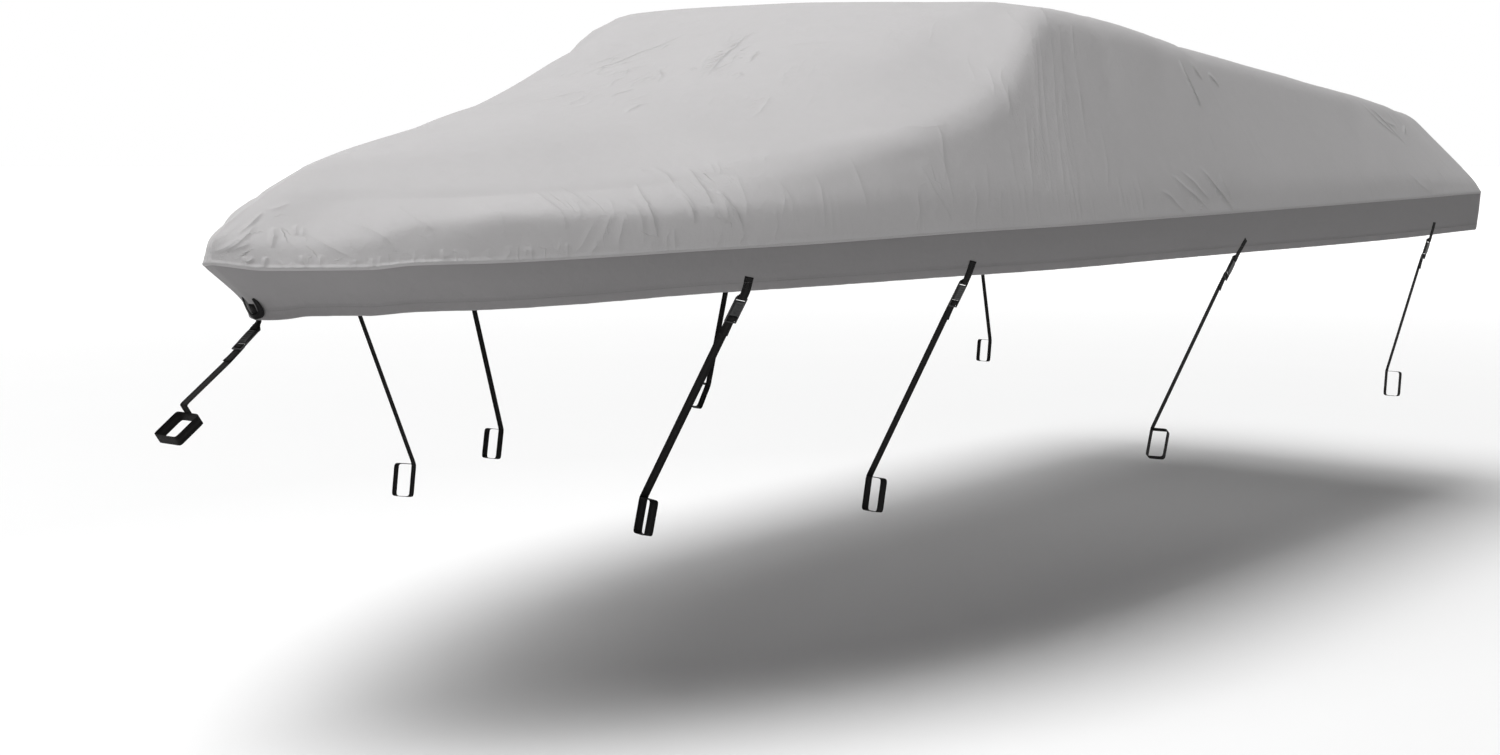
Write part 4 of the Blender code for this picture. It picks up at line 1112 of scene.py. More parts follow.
# ---------------------------------------------------------------- shader writing
class Value:
    """A number or socket in a material, so that shader maths reads as plain expressions."""

    def __init__(self, shader, socket):
        self.shader, self.socket = shader, socket

    def math(self, operation, *others):
        """Adds a Math node for this value and the others."""
        node = self.shader.tree.nodes.new("ShaderNodeMath")
        node.operation = operation
        for slot, value in zip(node.inputs, (self, *others)):
            self.shader.feed(slot, value)
        return Value(self.shader, node.outputs[0])

    def __add__(self, other):
        return self.math("ADD", other)

    def __sub__(self, other):
        return self.math("SUBTRACT", other)

    def __mul__(self, other):
        return self.math("MULTIPLY", other)

    def __truediv__(self, other):
        return self.math("DIVIDE", other)

    def __pow__(self, other):
        return self.math("POWER", other)

    def __rsub__(self, other):
        return (self * -1) + other

    __radd__ = __add__
    __rmul__ = __mul__

    def sin(self):
        return self.math("SINE")

    def abs(self):
        return self.math("ABSOLUTE")

    def at_least(self, other):
        return self.math("MAXIMUM", other)

    def at_most(self, other):
        return self.math("MINIMUM", other)

    def exp(self):
        return self.math("EXPONENT")

    def between(self, low, high):
        """0 below low, 1 above high, straight between."""
        return ((self - low) / (high - low)).at_least(0).at_most(1)


class Shader:
    """One material and the nodes that are added to it."""

    def __init__(self, name, **uniform):
        self.material = bpy.data.materials.new(name)
        self.material.use_nodes = True
        self.tree = self.material.node_tree
        self.surface = self.tree.nodes["Principled BSDF"]
        for key, value in uniform.items():
            self.surface.inputs[key.replace("_", " ").title().replace("Ior", "IOR")].default_value = value

    def feed(self, slot, value):
        """Links a value to a socket, or sets the socket to a plain number or colour."""
        if isinstance(value, Value):
            value = value.socket
        if isinstance(value, bpy.types.NodeSocket):
            self.tree.links.new(value, slot)
        else:
            slot.default_value = value

    def node(self, kind, settings=None, output=0, **inputs):
        """Adds a node: its settings first, then its sockets, named with _ for a space or numbered as i0,
        i1."""
        node = self.tree.nodes.new(kind)
        for key, value in (settings or {}).items():
            setattr(node, key, value)
        for key, value in inputs.items():
            by_number = key[0] == "i" and key[1:].isdigit()
            self.feed(node.inputs[int(key[1:]) if by_number else key.replace("_", " ")], value)
        return Value(self, node.outputs[output])

    def parts(self, vector):
        """x, y and z of a vector."""
        node = self.tree.nodes.new("ShaderNodeSeparateXYZ")
        self.feed(node.inputs[0], vector)
        return [Value(self, out) for out in node.outputs]

    def place(self):
        """The point's place in the frame's coordinates."""
        return self.node("ShaderNodeTexCoord", output="Object")

    def map(self):
        """The point's place on the cloth or the band, from its UV map."""
        return self.node("ShaderNodeUVMap", {"uv_map": "cloth"})

    def mark(self, name):
        """A value that the mesh holds for each of its points."""
        return self.node("ShaderNodeAttribute", {"attribute_name": name}, output="Fac")

    def ridges(self):
        """Height of the ridges in millimetres, from the three pairs of crease marks: a sharp crest on a
        round swell."""
        total = 0.0
        for k in range(MARK_PAIRS):
            across = self.mark(f"across_{k}")
            square = across * across
            crest = ((square + 0.30) ** 0.5 * -0.34).exp()
            swell = (square * -0.016).exp()
            total = self.mark(f"height_{k}") * (crest * 0.8 + swell * 0.7) + total
        return total

    def noise(self, vector, scale, detail=3.0, roughness=0.5):
        """Noise between 0 and 1, its coarsest grain a metre over scale."""
        return self.node("ShaderNodeTexNoise", Vector=vector, Scale=scale, Detail=detail, Roughness=roughness)

    def mix(self, share, low, high):
        """A colour between two, by share."""
        return self.node("ShaderNodeMix", {"data_type": "RGBA"}, output=2, i0=share, i6=low, i7=high)

    def bump(self, height, distance, strength=1.0, under=None):
        """A relief of this height, on top of another one where under is given."""
        inputs = {"Height": height, "Distance": distance, "Strength": strength}
        if under is not None:
            inputs["Normal"] = under
        return self.node("ShaderNodeBump", **inputs)

    def finish(self, **links):
        """Links these values to the surface's sockets and gives the material."""
        for key, value in links.items():
            self.feed(self.surface.inputs[key.replace("_", " ")], value)
        return self.material


def shade(colour, factor):
    """A colour made lighter or darker."""
    return tuple(min(1.0, c * factor) for c in colour[:3]) + (1.0,)


def cloth_material(name, colour, look, ridges=False):
    """Coated polyester: a basket weave in relief, faint blotches of tone, painted highlight on the crests of
    the creases and painted shade in their troughs, and a soft sheen.

    Where the mesh has crease marks, each crease gets a sharp ridge in relief, with painted shade along it:
    its height falls off as the exponential of the distance across it.
    """
    shader = Shader(name, sheen_weight=look.sheen, sheen_roughness=0.45, specular_ior_level=0.25)
    u, v, _ = shader.parts(shader.map())
    place = shader.place()
    turns = 2 * np.pi / look.weave
    weave = (u * turns).sin() * (v * turns).sin() * 0.5 + 0.5
    slubs = shader.noise(place, 900.0, 2.0)
    blotch = shader.noise(place, 3.2, 5.0, 0.55)
    dust = shader.noise(place, 26.0, 4.0, 0.6)
    # Painted highlight and shade: the cloth's lift from its mark makes crests lighter and troughs darker.
    crease = (shader.mark("crease") * 260.0).at_least(-1).at_most(1)
    tone = blotch * 0.5 + dust * 0.28 + weave * 0.10 + slubs * 0.12
    tone = tone + crease * 0.16
    ridge = shader.ridges() if ridges else 0.0
    if ridges:
        # Painted shade: the cloth is made darker along each crease's ridge.
        tone = tone - ridge * 0.10
    tone = tone.between(0.20, 0.85)
    base = shader.mix(tone, shade(colour, 0.955), shade(colour, 1.045))
    crumple = shader.noise(place, 13.0, 4.0, 0.55)
    soft = (crumple - 0.5).abs() * -2.0 + 1.0
    first = shader.bump(soft, look.crumple, 0.55)
    if ridges:
        first = shader.bump(ridge, 0.001, 1.0, first)
    normal = shader.bump(weave * 0.8 + slubs * 0.2, 0.00022, 0.6, first)
    rough = (blotch * 0.12 + weave * 0.08) + 0.72
    return shader.finish(Base_Color=base, Roughness=rough, Normal=normal)


def webbing_material(name, look):
    """Woven polypropylene: cross ribs in a herringbone, a painted highlight as a paler stripe down the
    middle, and paler high threads and edges."""
    shader = Shader(name, specular_ior_level=0.08)
    u, v, _ = shader.parts(shader.map())
    slant = v + (u.abs() * 0.012)
    ribs = (slant * (2 * np.pi / look.rib)).sin() * 0.5 + 0.5
    cords = (u * (2 * np.pi * 9.0)).sin() * 0.5 + 0.5
    # Painted highlight: a paler stripe down the middle of the strap.
    middle = 1 - (u.abs()).between(0.10, 0.17)
    edge = u.abs().between(0.44, 0.49)
    fluff = shader.noise(shader.place(), 700.0, 3.0)
    height = ribs * 0.6 + cords * 0.25 + fluff * 0.15
    light = height.between(0.45, 0.95) * 0.55 + middle * 0.35 + edge * 0.15
    base = shader.mix(light.at_most(1), tuple(look.webbing), tuple(look.webbing_thread))
    normal = shader.bump(height, 0.0004, 0.8)
    return shader.finish(Base_Color=base, Roughness=ribs * 0.15 + 0.55, Normal=normal)


def thread_material(name, colour):
    """Twisted sewing thread: fine slanting turns along each stitch."""
    shader = Shader(name, specular_ior_level=0.3)
    place = shader.place()
    x, y, z = shader.parts(place)
    twist = ((x + y + z) * (2 * np.pi / 0.0009)).sin() * 0.5 + 0.5
    base = shader.mix(twist, shade(colour, 0.82), shade(colour, 1.12))
    return shader.finish(Base_Color=base, Roughness=twist * 0.1 + 0.6, Normal=shader.bump(twist, 0.0001, 0.7))


def plastic_material(name, look):
    """Moulded acetal: a fine grain, slow waves of sheen and a few paler rubbed places."""
    shader = Shader(name, specular_ior_level=0.5)
    place = shader.place()
    grain = shader.noise(place, 1400.0, 2.0)
    wave = shader.noise(place, 60.0, 3.0)
    rubbed = shader.noise(place, 240.0, 4.0, 0.6).between(0.58, 0.75)
    base = shader.mix(rubbed * 0.6, tuple(look.plastic), shade(tuple(look.plastic), 2.4))
    return shader.finish(Base_Color=base, Roughness=wave * 0.22 + grain * 0.08 + 0.30,
                         Normal=shader.bump(grain, 0.00006, 0.6))


def floor_material(look):
    """Pale studio floor with very faint clouds of tone, glowing with the distance so that it runs into the
    backdrop."""
    shader = Shader("studio_floor", specular_ior_level=0.2, emission_strength=1.0)
    cloud = shader.noise(shader.place(), 0.8, 3.0)
    x, y, _ = shader.parts(shader.place())
    far = ((x * x + y * y) ** 0.5).between(3.0, 16.0)
    glow = shader.mix(far, (0.0, 0.0, 0.0, 1.0), (look.glow, look.glow, look.glow, 1.0))
    base = shader.mix(cloud, shade(tuple(look.floor), 0.99), tuple(look.floor))
    return shader.finish(Base_Color=base, Roughness=cloud * 0.1 + 0.7, Emission_Color=glow)


MATERIALS = {}


def shared(name, make):
    """The material of that name, made on first use."""
    if name not in MATERIALS:
        MATERIALS[name] = make()
    return MATERIALS[name]


# ---------------------------------------------------------------- settings
class CoverClothLook(bpy.types.PropertyGroup):
    """The cloth's colours, weave, thickness and creases"""

    top_colour: bpy.props.FloatVectorProperty(
        name="Top colour", description="Colour of the top's cloth", subtype="COLOR", size=4, min=0, max=1,
        default=(0.440, 0.431, 0.434, 1.0))
    # The skirt's colour is darker than the top's for two causes: a darker cloth, and painted shade of the
    # skirt, which faces down under the gunwale.
    skirt_colour: bpy.props.FloatVectorProperty(
        name="Skirt colour", description="Colour of the skirt's cloth", subtype="COLOR", size=4, min=0, max=1,
        default=(0.235, 0.2285, 0.231, 1.0))
    thickness: bpy.props.FloatProperty(
        name="Thickness", description="Thickness of the cloth", unit="LENGTH", default=0.0012,
        min=0.0002, max=0.004)
    lap: bpy.props.FloatProperty(
        name="Lap", description="How far the top's edge laps over the skirt", unit="LENGTH", default=0.006)
    hem: bpy.props.FloatProperty(
        name="Hem", description="Height of the turned hem", unit="LENGTH", default=0.026)
    weave: bpy.props.FloatProperty(
        name="Weave", description="Pitch of the basket weave", unit="LENGTH", default=0.0016)
    crease: bpy.props.FloatProperty(
        name="Creases", description="Height of all creases, as a share of the usual", default=1.0,
        min=0, max=2)
    crumple: bpy.props.FloatProperty(
        name="Crumple", description="Depth of the finest crumples", unit="LENGTH", default=0.003)
    sheen: bpy.props.FloatProperty(
        name="Sheen", description="Strength of the cloth's sheen", default=0.06, min=0, max=1)


class CoverTieLook(bpy.types.PropertyGroup):
    """Colours of the webbing and the buckles, and the webbing's ribs"""

    webbing: bpy.props.FloatVectorProperty(
        name="Webbing", description="Colour of the webbing", subtype="COLOR", size=4, min=0, max=1,
        default=(0.0070, 0.0065, 0.0065, 1.0))
    # The paler colour of the webbing: its high threads and edges, and the painted highlight down its middle.
    webbing_thread: bpy.props.FloatVectorProperty(
        name="High threads", description="Colour of the webbing's worn high threads", subtype="COLOR", size=4,
        min=0, max=1, default=(0.022, 0.021, 0.021, 1.0))
    rib: bpy.props.FloatProperty(
        name="Rib", description="Pitch of the webbing's ribs", unit="LENGTH", default=0.0022)
    plastic: bpy.props.FloatVectorProperty(
        name="Plastic", description="Colour of the buckles", subtype="COLOR", size=4, min=0, max=1,
        default=(0.016, 0.016, 0.017, 1.0))


class CoverStudioLook(bpy.types.PropertyGroup):
    """The floor, the lights and the camera's lens"""

    floor: bpy.props.FloatVectorProperty(
        name="Floor", description="Colour of the floor", subtype="COLOR", size=4, min=0, max=1,
        default=(0.84, 0.84, 0.84, 1.0))
    glow: bpy.props.FloatProperty(
        name="Floor glow", description="Glow of the floor far from the cover", default=0.50, min=0, max=2)
    lens: bpy.props.FloatProperty(
        name="Lens", description="Focal length of the camera in millimetres", default=52.8, min=10, max=300)
    ambient: bpy.props.FloatProperty(
        name="Ambient", description="Strength of the light from all round", default=0.03, min=0, max=5)
    key: bpy.props.FloatProperty(
        name="Key light", description="Strength of the soft light overhead", default=1.75, min=0, max=50)
    softbox: bpy.props.FloatProperty(
        name="Softbox", description="Power of the softbox above the bow in watts", default=1000.0,
        min=0, max=5000)
    backdrop: bpy.props.FloatProperty(
        name="Backdrop", description="Strength of the luminous backdrop", default=1.0, min=0, max=10)


def cloth_look():
    """The cloth's settings."""
    return bpy.context.scene.boat_cover_cloth


def tie_look():
    """The ties' settings."""
    return bpy.context.scene.boat_cover_ties


def webbing():
    """The webbing's material."""
    return shared("webbing_weave", lambda: webbing_material("webbing_weave", tie_look()))


def black_thread():
    """The thread that the webbing is sewn on with."""
    return shared("black_thread", lambda: thread_material("black_thread", (0.03, 0.03, 0.032, 1.0)))


def sewing_thread(name, cloth_colour):
    """Thread a little darker than the cloth that it sews."""
    return shared(name, lambda: thread_material(name, shade(tuple(cloth_colour), 0.8)))


# ---------------------------------------------------------------- operators
class COVER_OT_top(bpy.types.Operator):
    """Build the top: its folds, its creases and the lap over the skirt"""

    bl_idname = "boat_cover.top"
    bl_label = "Top"

    def execute(self, context):
        look = cloth_look()
        points, index, uv, marks = top_surface(look)
        points, faces, coarse = with_inner_face(points, index, look.thickness)
        uv = np.concatenate([uv, uv[coarse].reshape(-1, 2)])
        marks = {name: np.concatenate([values, values[coarse.ravel()]]) for name, values in marks.items()}
        material = cloth_material("top_weave", tuple(look.top_colour), look, ridges=True)
        obj = new_piece("cover_top", placed(points), faces, material, ["top_panel"], uv, marks)
        return {"FINISHED"}


def gathered(ways, t, depth):
    """Relief of the skirt: small gathers that die out above the hem, which are a sum of sines along the
    outline, and a slow swell."""
    rng = np.random.default_rng(SEED + 1)
    gather = 0.0
    for length, size in GATHERS:
        gather = gather + size * np.sin(2 * np.pi * ways / length + rng.uniform(0, 6))
    gather = gather * np.exp(-((1 - t) * depth / 0.030))
    swell = 0.0012 * np.sin(2 * np.pi * ways / 0.55 + 1.0) * np.sin(np.pi * np.clip(t, 0, 1)) ** 2
    return gather, 0.00055 * gather + swell


def skirt_surface(look):
    """Points, vertex numbers and UV of the skirt: one closed section carried round the whole outline."""
    ways = crowded(TOP_ROWS)
    depth = smooth(gunwale(ways)[0][:, 0], SKIRT[:, 0], SKIRT[:, 1])[:, None]
    hem, thick = look.hem, look.thickness
    # Columns: metres below the seam (down) or above the hem (above), and how far out of the skirt's outer
    # face.
    down = [(0.0008, -0.0004), (0.006, 0.0), (0.013, 0.0)]
    above = [(s, 0.0) for s in (0.074, 0.062, 0.050, 0.040, 0.032)]
    above += [(hem + 0.0012, 0.0), (hem - 0.0012, 0.0007), (0.018, 0.0007), (0.010, 0.0007), (0.0040, 0.0006),
              (0.0012, 0.0000), (0.0, -0.0012), (0.0012, -0.0024), (0.0040, -0.0030), (0.012, -0.0030),
              (hem - 0.003, -0.0028), (hem - 0.001, -0.0014), (0.040, -thick), (0.060, -thick)]
    t = [metres / depth for metres, _ in down] + [1 - metres / depth for metres, _ in above]
    t = np.concatenate(t + [0.013 / depth, 0.0008 / depth], axis=1)
    off = [off for _, off in down + above] + [-thick, -thick - 0.0004]
    way = np.broadcast_to(ways[:, None], t.shape)
    spot, normal, _ = skirt_frame(way, t)
    gather, relief = gathered(ways[:, None], t, depth)
    offset = np.array(off)[None] + relief
    grid = spot + normal * offset[..., None]
    grid[[0, -1], :, 1] = 0.0
    loop = loop_of(grid, mirrored(grid))
    index = numbered(*loop.shape[:2])
    index = np.concatenate([index, index[:, :1]], axis=1)
    metres = t * depth
    uv = np.stack([loop_of(way, way).ravel(), loop_of(metres, metres).ravel()], axis=1)
    # Mark for the material: the gathers' crests are painted lighter and their hollows darker, as painted
    # highlight and shade.
    lift = loop_of(0.0004 * gather, 0.0004 * gather).ravel()
    return loop.reshape(-1, 3), index, uv, lift


class COVER_OT_skirt(bpy.types.Operator):
    """Build the skirt with its turned hem"""

    bl_idname = "boat_cover.skirt"
    bl_label = "Skirt"

    def execute(self, context):
        look = cloth_look()
        points, index, uv, lift = skirt_surface(look)
        material = cloth_material("skirt_weave", tuple(look.skirt_colour), look)
        obj = new_piece("cover_skirt", placed(points), loop_faces(index), material,
                        ["skirt_band"], uv, {"crease": lift})
        return {"FINISHED"}


def round_line(t_metres, from_hem, lift):
    """A line round the whole skirt at a height given from the seam or from the hem, with its normals."""
    ways = crowded(TOP_ROWS)
    depth = smooth(gunwale(ways)[0][:, 0], SKIRT[:, 0], SKIRT[:, 1])
    t = 1 - t_metres / depth if from_hem else t_metres / depth
    spot, normal, _ = skirt_frame(ways, t)
    spot = spot + normal * (lift + gathered(ways, t, depth)[1])[:, None]
    spot[[0, -1], 1] = 0.0
    path = loop_of(spot, mirrored(spot))
    normals = loop_of(normal, mirrored(normal))
    return np.concatenate([path, path[:1]]), np.concatenate([normals, normals[:1]])


class COVER_OT_stitching(bpy.types.Operator):
    """Sew the seam with two rows of stitches and the hem with one"""

    bl_idname = "boat_cover.stitching"
    bl_label = "Stitching"

    def execute(self, context):
        look = cloth_look()
        pale = sewing_thread("pale_thread", look.top_colour)
        # The hem's thread takes its colour from the skirt's, painted shade included.
        dark = sewing_thread("grey_thread", look.skirt_colour)
        rows = [round_line(at, False, 0.0009) for at in (0.0012, 0.0044)]
        shape = joined([stitch_row(*row) for row in rows])
        new_piece("seam_stitches", placed(shape[0]), shape[1], pale)
        shape = joined([stitch_row(*round_line(look.hem - 0.004, True, 0.0008))])
        new_piece("hem_stitches", placed(shape[0]), shape[1], dark)
        return {"FINISHED"}


def box_stitches(corners, normal):
    """Stitches round a box and across both its diagonals, given its four corners in order."""
    a, b, c, d = corners
    up = np.broadcast_to(np.asarray(normal, float), (2, 3))
    return joined([stitch_row(np.array(pair), up, pitch=0.0030, long=0.0024, thick=0.00035)
                   for pair in ((a, b), (b, c), (c, d), (d, a), (a, c), (b, d))])


class COVER_OT_tabs(bpy.types.Operator):
    """Sew on the webbing tabs that carry the buckles"""

    bl_idname = "boat_cover.tabs"
    bl_label = "Tabs"

    def execute(self, context):
        for number, row in enumerate(TIES, start=1):
            tie, tab, _, normal = side_tie(row)
            path = divided(rounded_path(tab, 1), 0.004)
            band = band_shape(path, tie.v)
            lift = normal * (BAND_HALF + 0.0002)
            half = tie.v * (WEBBING / 2 - 0.0035)
            top, low = tab[0] + 0.10 * (tab[1] - tab[0]) + lift, tab[0] + 0.82 * (tab[1] - tab[0]) + lift
            sewn = box_stitches([top - half, top + half, low + half, low - half], normal)
            for side, word in SIDES:
                points, faces, uv = on_side(band, side)
                new_piece(f"tab_{word}_{number}", points, faces, webbing(),
                          [f"tie_tab_{word}_{number}"], uv)
                points, faces, _ = on_side(sewn, side)
                new_piece(f"tab_stitches_{word}_{number}", points, faces, black_thread())
        return {"FINISHED"}


class COVER_OT_straps(bpy.types.Operator):
    """Thread the straps through the buckles and round their loops"""

    bl_idname = "boat_cover.straps"
    bl_label = "Straps"

    def execute(self, context):
        for number, row in enumerate(TIES, start=1):
            tie, _, strap, _ = side_tie(row)
            path = divided(rounded_path(strap, 2), 0.03)
            band = band_shape(path, tie.v)
            for side, word in SIDES:
                points, faces, uv = on_side(band, side)
                new_piece(f"strap_{word}_{number}", points, faces, webbing(),
                          [f"tie_strap_{word}_{number}"], uv)
        return {"FINISHED"}


class COVER_OT_buckles(bpy.types.Operator):
    """Mould the ladder buckles, with their grip ribs"""

    bl_idname = "boat_cover.buckles"
    bl_label = "Buckles"

    def execute(self, context):
        plastic = shared("buckle_plastic_grain", lambda: plastic_material("buckle_plastic_grain", tie_look()))
        shape = buckle_shape()
        for number, row in enumerate(TIES, start=1):
            tie = side_tie(row)[0]
            for side, word in SIDES:
                points, faces, uv = set_in(shape, tie, side)
                new_piece(f"ladder_buckle_{word}_{number}", points, faces, plastic,
                          [f"buckle_{word}_{number}"], uv)
        points, faces, uv = set_in(shape, bow_tie()[0], 1)
        new_piece("ladder_buckle_bow", points, faces, plastic, ["bow_buckle"], uv)
        return {"FINISHED"}


def both_sides(port):
    """Port points from the middle line outwards, joined to their mirror images."""
    return [mirrored(p) for p in port[:0:-1]] + list(port)


def stem_row(t, lift, drop=0.0):
    """Points across the stem at t on the skirt, lifted off it, and lowered along it by drop."""
    port = []
    for way in np.linspace(0, 1, 5) * WEBBING / 2:
        spot, normal = skirt_patch(way, t)
        leg = unit(skirt_point(way, 1.0) - skirt_point(way, TAB_LEVEL))
        port.append(spot + normal * lift + leg * drop)
    return both_sides(port)


def bow_tie():
    """Frame, tab rows, strap path and loop path of the bow's tie."""
    loop_aft = np.array([LOOP_UP[2], 0.0, -LOOP_UP[0]])
    half_side = LOOP_SIDE / 2 + BAND_HALF
    landing = LOOP_MIDDLE + loop_aft * (half_side + 0.8 * WEBBING_THICK)
    hem, _ = skirt_patch(0.0, 1.0)
    bar = hem + np.array([BOW_BAR[0], 0.0, BOW_BAR[1]])
    tie = TieFrame(bar, landing + LOOP_UP * 0.030, (-1.0, 0.0, 0.6))
    inside = -(CAD_CLOTH + 3 * GAP + BAND_HALF)
    tab = [stem_row(BOW_TAB_START, inside), stem_row(1.0, inside), stem_row(1.0, inside, 0.005)]
    widths = np.linspace(1, -1, 9) * WEBBING / 2
    tab += [[tie.out(u, w) + np.array([0.0, y, 0.0]) for y in widths] for u, w in eye_path(0.010, 0.004)]
    strap = [tie.out(u, w) for u, w in buckle_thread()]
    strap += [landing + LOOP_UP * rise for rise in (0.034, 0.026, -0.006)]
    ring = []
    nick = 0.004
    for a, b in ((1, 1), (-1, 1), (-1, -1), (1, -1)):
        corner = LOOP_MIDDLE + loop_aft * (a * half_side) + np.array([0.0, b * half_side, 0.0])
        pair = [corner - loop_aft * (a * nick), corner - np.array([0.0, b * nick, 0.0])]
        ring += pair if a * b < 0 else pair[::-1]
    return tie, np.array(tab), np.array(strap), np.array(ring)


def walled(grid, thickness):
    """A sheet over a grid of points with a wall to either side: points, faces and UV across and along."""
    number = numbered(*grid.shape[:2])
    count = number.size
    quads = loop_faces(number, closed=False)
    middle = grid.reshape(-1, 3)
    normal = vertex_normals(middle, quads) * thickness / 2
    ring = np.concatenate([number[0, :-1], number[:-1, -1], number[-1, :0:-1], number[:0:-1, 0]])
    after = np.roll(ring, -1)
    rim = np.stack([ring, ring + count, after + count, after], 1)
    faces = list(quads) + list(quads[:, ::-1] + count) + list(rim)
    step = np.linalg.norm(np.diff(grid, axis=0), axis=2).mean(1)
    along = np.concatenate([[0], np.cumsum(step)])
    across = np.linspace(-0.5, 0.5, grid.shape[1])
    uv = np.stack(np.broadcast_arrays(across[None], along[:, None]), -1).reshape(-1, 2)
    return np.concatenate([middle + normal, middle - normal]), faces, np.concatenate([uv, uv])


def refined(grid, rows, columns):
    """The same surface with more points: a smooth curve through its points, first along and then across."""
    place = np.linspace(0, 1, len(grid))
    finer = np.linspace(0, 1, rows)
    grid = np.stack([np.stack([smooth(finer, place, grid[:, j, k]) for j in range(grid.shape[1])], 1)
                     for k in range(3)], 2)
    place = np.linspace(0, 1, grid.shape[1])
    finer = np.linspace(0, 1, columns)
    return np.stack([np.stack([smooth(finer, place, grid[i, :, k]) for i in range(len(grid))], 0)
                     for k in range(3)], 2)


def bow_patch():
    """Grid of the patch that goes round the stem, from the port end to the starboard end."""
    table = BOW_PATCH[::-1]
    place = np.linspace(0, 1, len(table))
    finer = np.linspace(0, 1, 22)
    inner_way, inner_t, outer_way, outer_t = [smooth(finer, place, table[:, k]) for k in range(4)]
    port = []
    for row in range(len(finer)):
        across = []
        for s in np.linspace(0, 1, 7):
            way = inner_way[row] + s * (outer_way[row] - inner_way[row])
            t = inner_t[row] + s * (outer_t[row] - inner_t[row])
            spot, normal = skirt_patch(way, t)
            across.append(spot + normal * (GAP + BAND_HALF))
        port.append(np.array(across))
    return np.array(both_sides(port))


class COVER_OT_bow(bpy.types.Operator):
    """Fit the stem patch, the bow tab, and the strap with its square loop"""

    bl_idname = "boat_cover.bow"
    bl_label = "Bow fittings"

    def execute(self, context):
        tie, tab, strap, ring = bow_tie()
        patch = bow_patch()
        points, faces, uv = walled(patch, WEBBING_THICK)
        new_piece("stem_patch", placed(points), faces, webbing(), ["bow_patch"], uv)
        quads = loop_faces(numbered(*patch.shape[:2]), closed=False)
        lift = vertex_normals(patch.reshape(-1, 3), quads).reshape(patch.shape)
        rows = [(patch[:, k] + lift[:, k] * (BAND_HALF + 0.0002), lift[:, k]) for k in (1, 5)]
        points, faces, _ = joined([stitch_row(*row, pitch=0.0034, long=0.0026, thick=0.0004) for row in rows])
        new_piece("stem_patch_stitches", placed(points), faces, black_thread())
        points, faces, uv = walled(refined(tab, 48, 13), WEBBING_THICK)
        new_piece("tab_bow", placed(points), faces, webbing(), ["bow_tab"], uv)
        band = band_shape(divided(rounded_path(strap, 2), 0.02), tie.v)
        loop = band_shape(rounded_path(ring, 2, closed=True), LOOP_UP, closed=True)
        points, faces, uv = joined([band, loop])
        new_piece("strap_bow", placed(points), faces, webbing(), ["bow_strap"], uv)
        return {"FINISHED"}


def sheet_of_light(name, corners, strength):
    """A luminous wall, given its four corners in order."""
    mesh = bpy.data.meshes.new(name)
    mesh.from_pydata([tuple(map(float, corner)) for corner in corners], [], [(0, 1, 2, 3)])
    shader = Shader(name, base_color=(0.0, 0.0, 0.0, 1.0), emission_color=(1.0, 1.0, 1.0, 1.0),
                    emission_strength=strength, specular_ior_level=0.0)
    mesh.materials.append(shader.material)
    obj = bpy.data.objects.new(name, mesh)
    bpy.context.scene.collection.objects.link(obj)


def far_light(name, toward, strength, spread):
    """A soft light from far away, given the direction towards it."""
    light = bpy.data.lights.new(name, "SUN")
    light.energy = strength
    light.angle = np.radians(spread)
    obj = bpy.data.objects.new(name, light)
    obj.rotation_euler = mathutils.Vector(toward).to_track_quat("Z", "Y").to_euler()
    bpy.context.scene.collection.objects.link(obj)


def near_light(name, place, power, side):
    """A square softbox that faces the frame's origin."""
    light = bpy.data.lights.new(name, "AREA")
    light.energy = power
    light.size = side
    obj = bpy.data.objects.new(name, light)
    obj.location = place
    obj.rotation_euler = mathutils.Vector(place).to_track_quat("Z", "Y").to_euler()
    bpy.context.scene.collection.objects.link(obj)


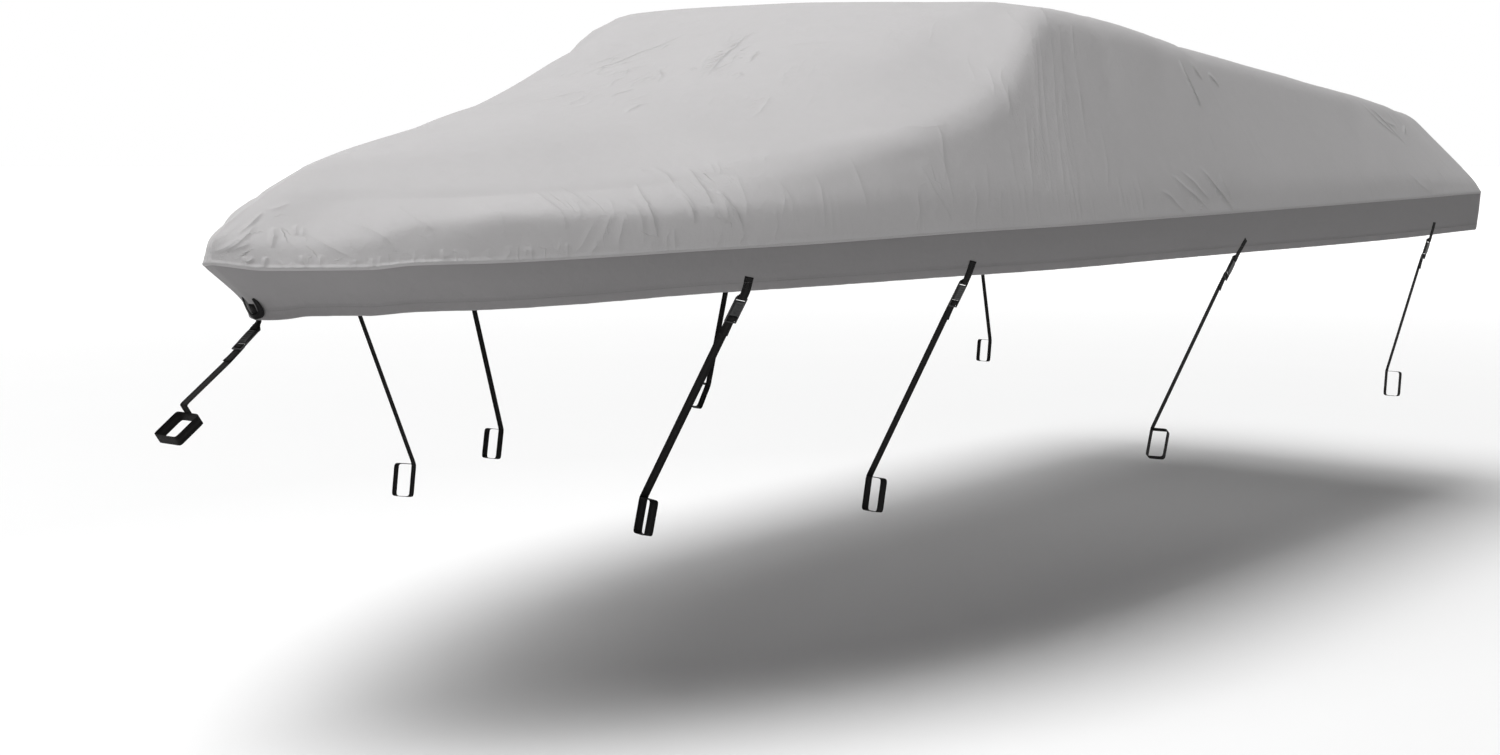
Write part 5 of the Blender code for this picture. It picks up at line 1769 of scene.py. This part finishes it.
class COVER_OT_stage(bpy.types.Operator):
    """Set the floor, the lights and the camera"""

    bl_idname = "boat_cover.stage"
    bl_label = "Studio"

    def execute(self, context):
        look = context.scene.boat_cover_studio
        floor_z = -float(ORIGIN[2])
        corners = [(a * FLOOR_HALF, b * FLOOR_HALF, floor_z) for a, b in ((-1, -1), (1, -1), (1, 1), (-1, 1))]
        mesh = bpy.data.meshes.new("studio_floor")
        mesh.from_pydata(corners, [], [(0, 1, 2, 3)])
        mesh.materials.append(floor_material(look))
        floor = bpy.data.objects.new("studio_floor", mesh)
        context.scene.collection.objects.link(floor)

        world = bpy.data.worlds.new("studio")
        world.use_nodes = True
        back = world.node_tree.nodes["Background"]
        back.inputs["Color"].default_value = (1.0, 1.0, 1.0, 1.0)
        back.inputs["Strength"].default_value = look.ambient
        context.scene.world = world
        far_light("key", KEY_TOWARD, look.key, KEY_SPREAD)
        near_light("softbox", SOFTBOX_PLACE, look.softbox, SOFTBOX_SIDE)
        left, right = [WALL_AIM * WALL_FAR + WALL_ALONG * half for half in (-WALL_HALF, WALL_HALF)]
        low, high = [np.array([0.0, 0.0, floor_z + height]) for height in (0.0, WALL_HIGH)]
        wall = [left + low, right + low, right + high, left + high]
        sheet_of_light("studio_backdrop", wall, look.backdrop)

        camera = bpy.data.cameras.new("photo_view")
        camera.lens = look.lens
        camera.sensor_width = SENSOR_WIDTH
        camera.clip_end = 200.0
        obj = bpy.data.objects.new("photo_view", camera)
        obj.location = placed(CAMERA_PLACE)
        obj.rotation_euler = np.radians([90.0 - CAMERA_DOWN, 0.0, CAMERA_AIM - 90.0])
        context.scene.collection.objects.link(obj)
        context.scene.camera = obj
        context.scene.view_settings.view_transform = "Standard"
        return {"FINISHED"}


class COVER_PT_parts(bpy.types.Panel):
    """Lists the cover's pieces and their settings"""

    bl_idname = "COVER_PT_parts"
    bl_label = "Boat Cover"
    bl_space_type = "VIEW_3D"
    bl_region_type = "UI"
    bl_category = "Boat Cover"

    def draw(self, context):
        layout = self.layout
        for operator in OPERATORS:
            layout.operator(operator.bl_idname)
        for group in SETTINGS:
            settings = getattr(context.scene, group)
            box = layout.box()
            for name in settings.__annotations__:
                box.prop(settings, name)


SETTINGS = {
    "boat_cover_cloth": CoverClothLook,
    "boat_cover_ties": CoverTieLook,
    "boat_cover_studio": CoverStudioLook,
}
OPERATORS = (COVER_OT_stage, COVER_OT_top, COVER_OT_skirt, COVER_OT_stitching, COVER_OT_tabs, COVER_OT_straps,
             COVER_OT_buckles, COVER_OT_bow)


def register():
    """Adds the classes, and the settings to every scene."""
    for cls in (*SETTINGS.values(), *OPERATORS, COVER_PT_parts):
        bpy.utils.register_class(cls)
    for name, cls in SETTINGS.items():
        setattr(bpy.types.Scene, name, bpy.props.PointerProperty(type=cls))


def unregister():
    """Takes the settings and the classes away again."""
    for name in SETTINGS:
        delattr(bpy.types.Scene, name)
    for cls in reversed((*SETTINGS.values(), *OPERATORS, COVER_PT_parts)):
        bpy.utils.unregister_class(cls)


def main():
    register()
    bpy.ops.boat_cover.stage()
    bpy.ops.boat_cover.top()
    bpy.ops.boat_cover.skirt()
    bpy.ops.boat_cover.stitching()
    bpy.ops.boat_cover.tabs()
    bpy.ops.boat_cover.straps()
    bpy.ops.boat_cover.buckles()
    bpy.ops.boat_cover.bow()


if __name__ == "__main__":
    main()
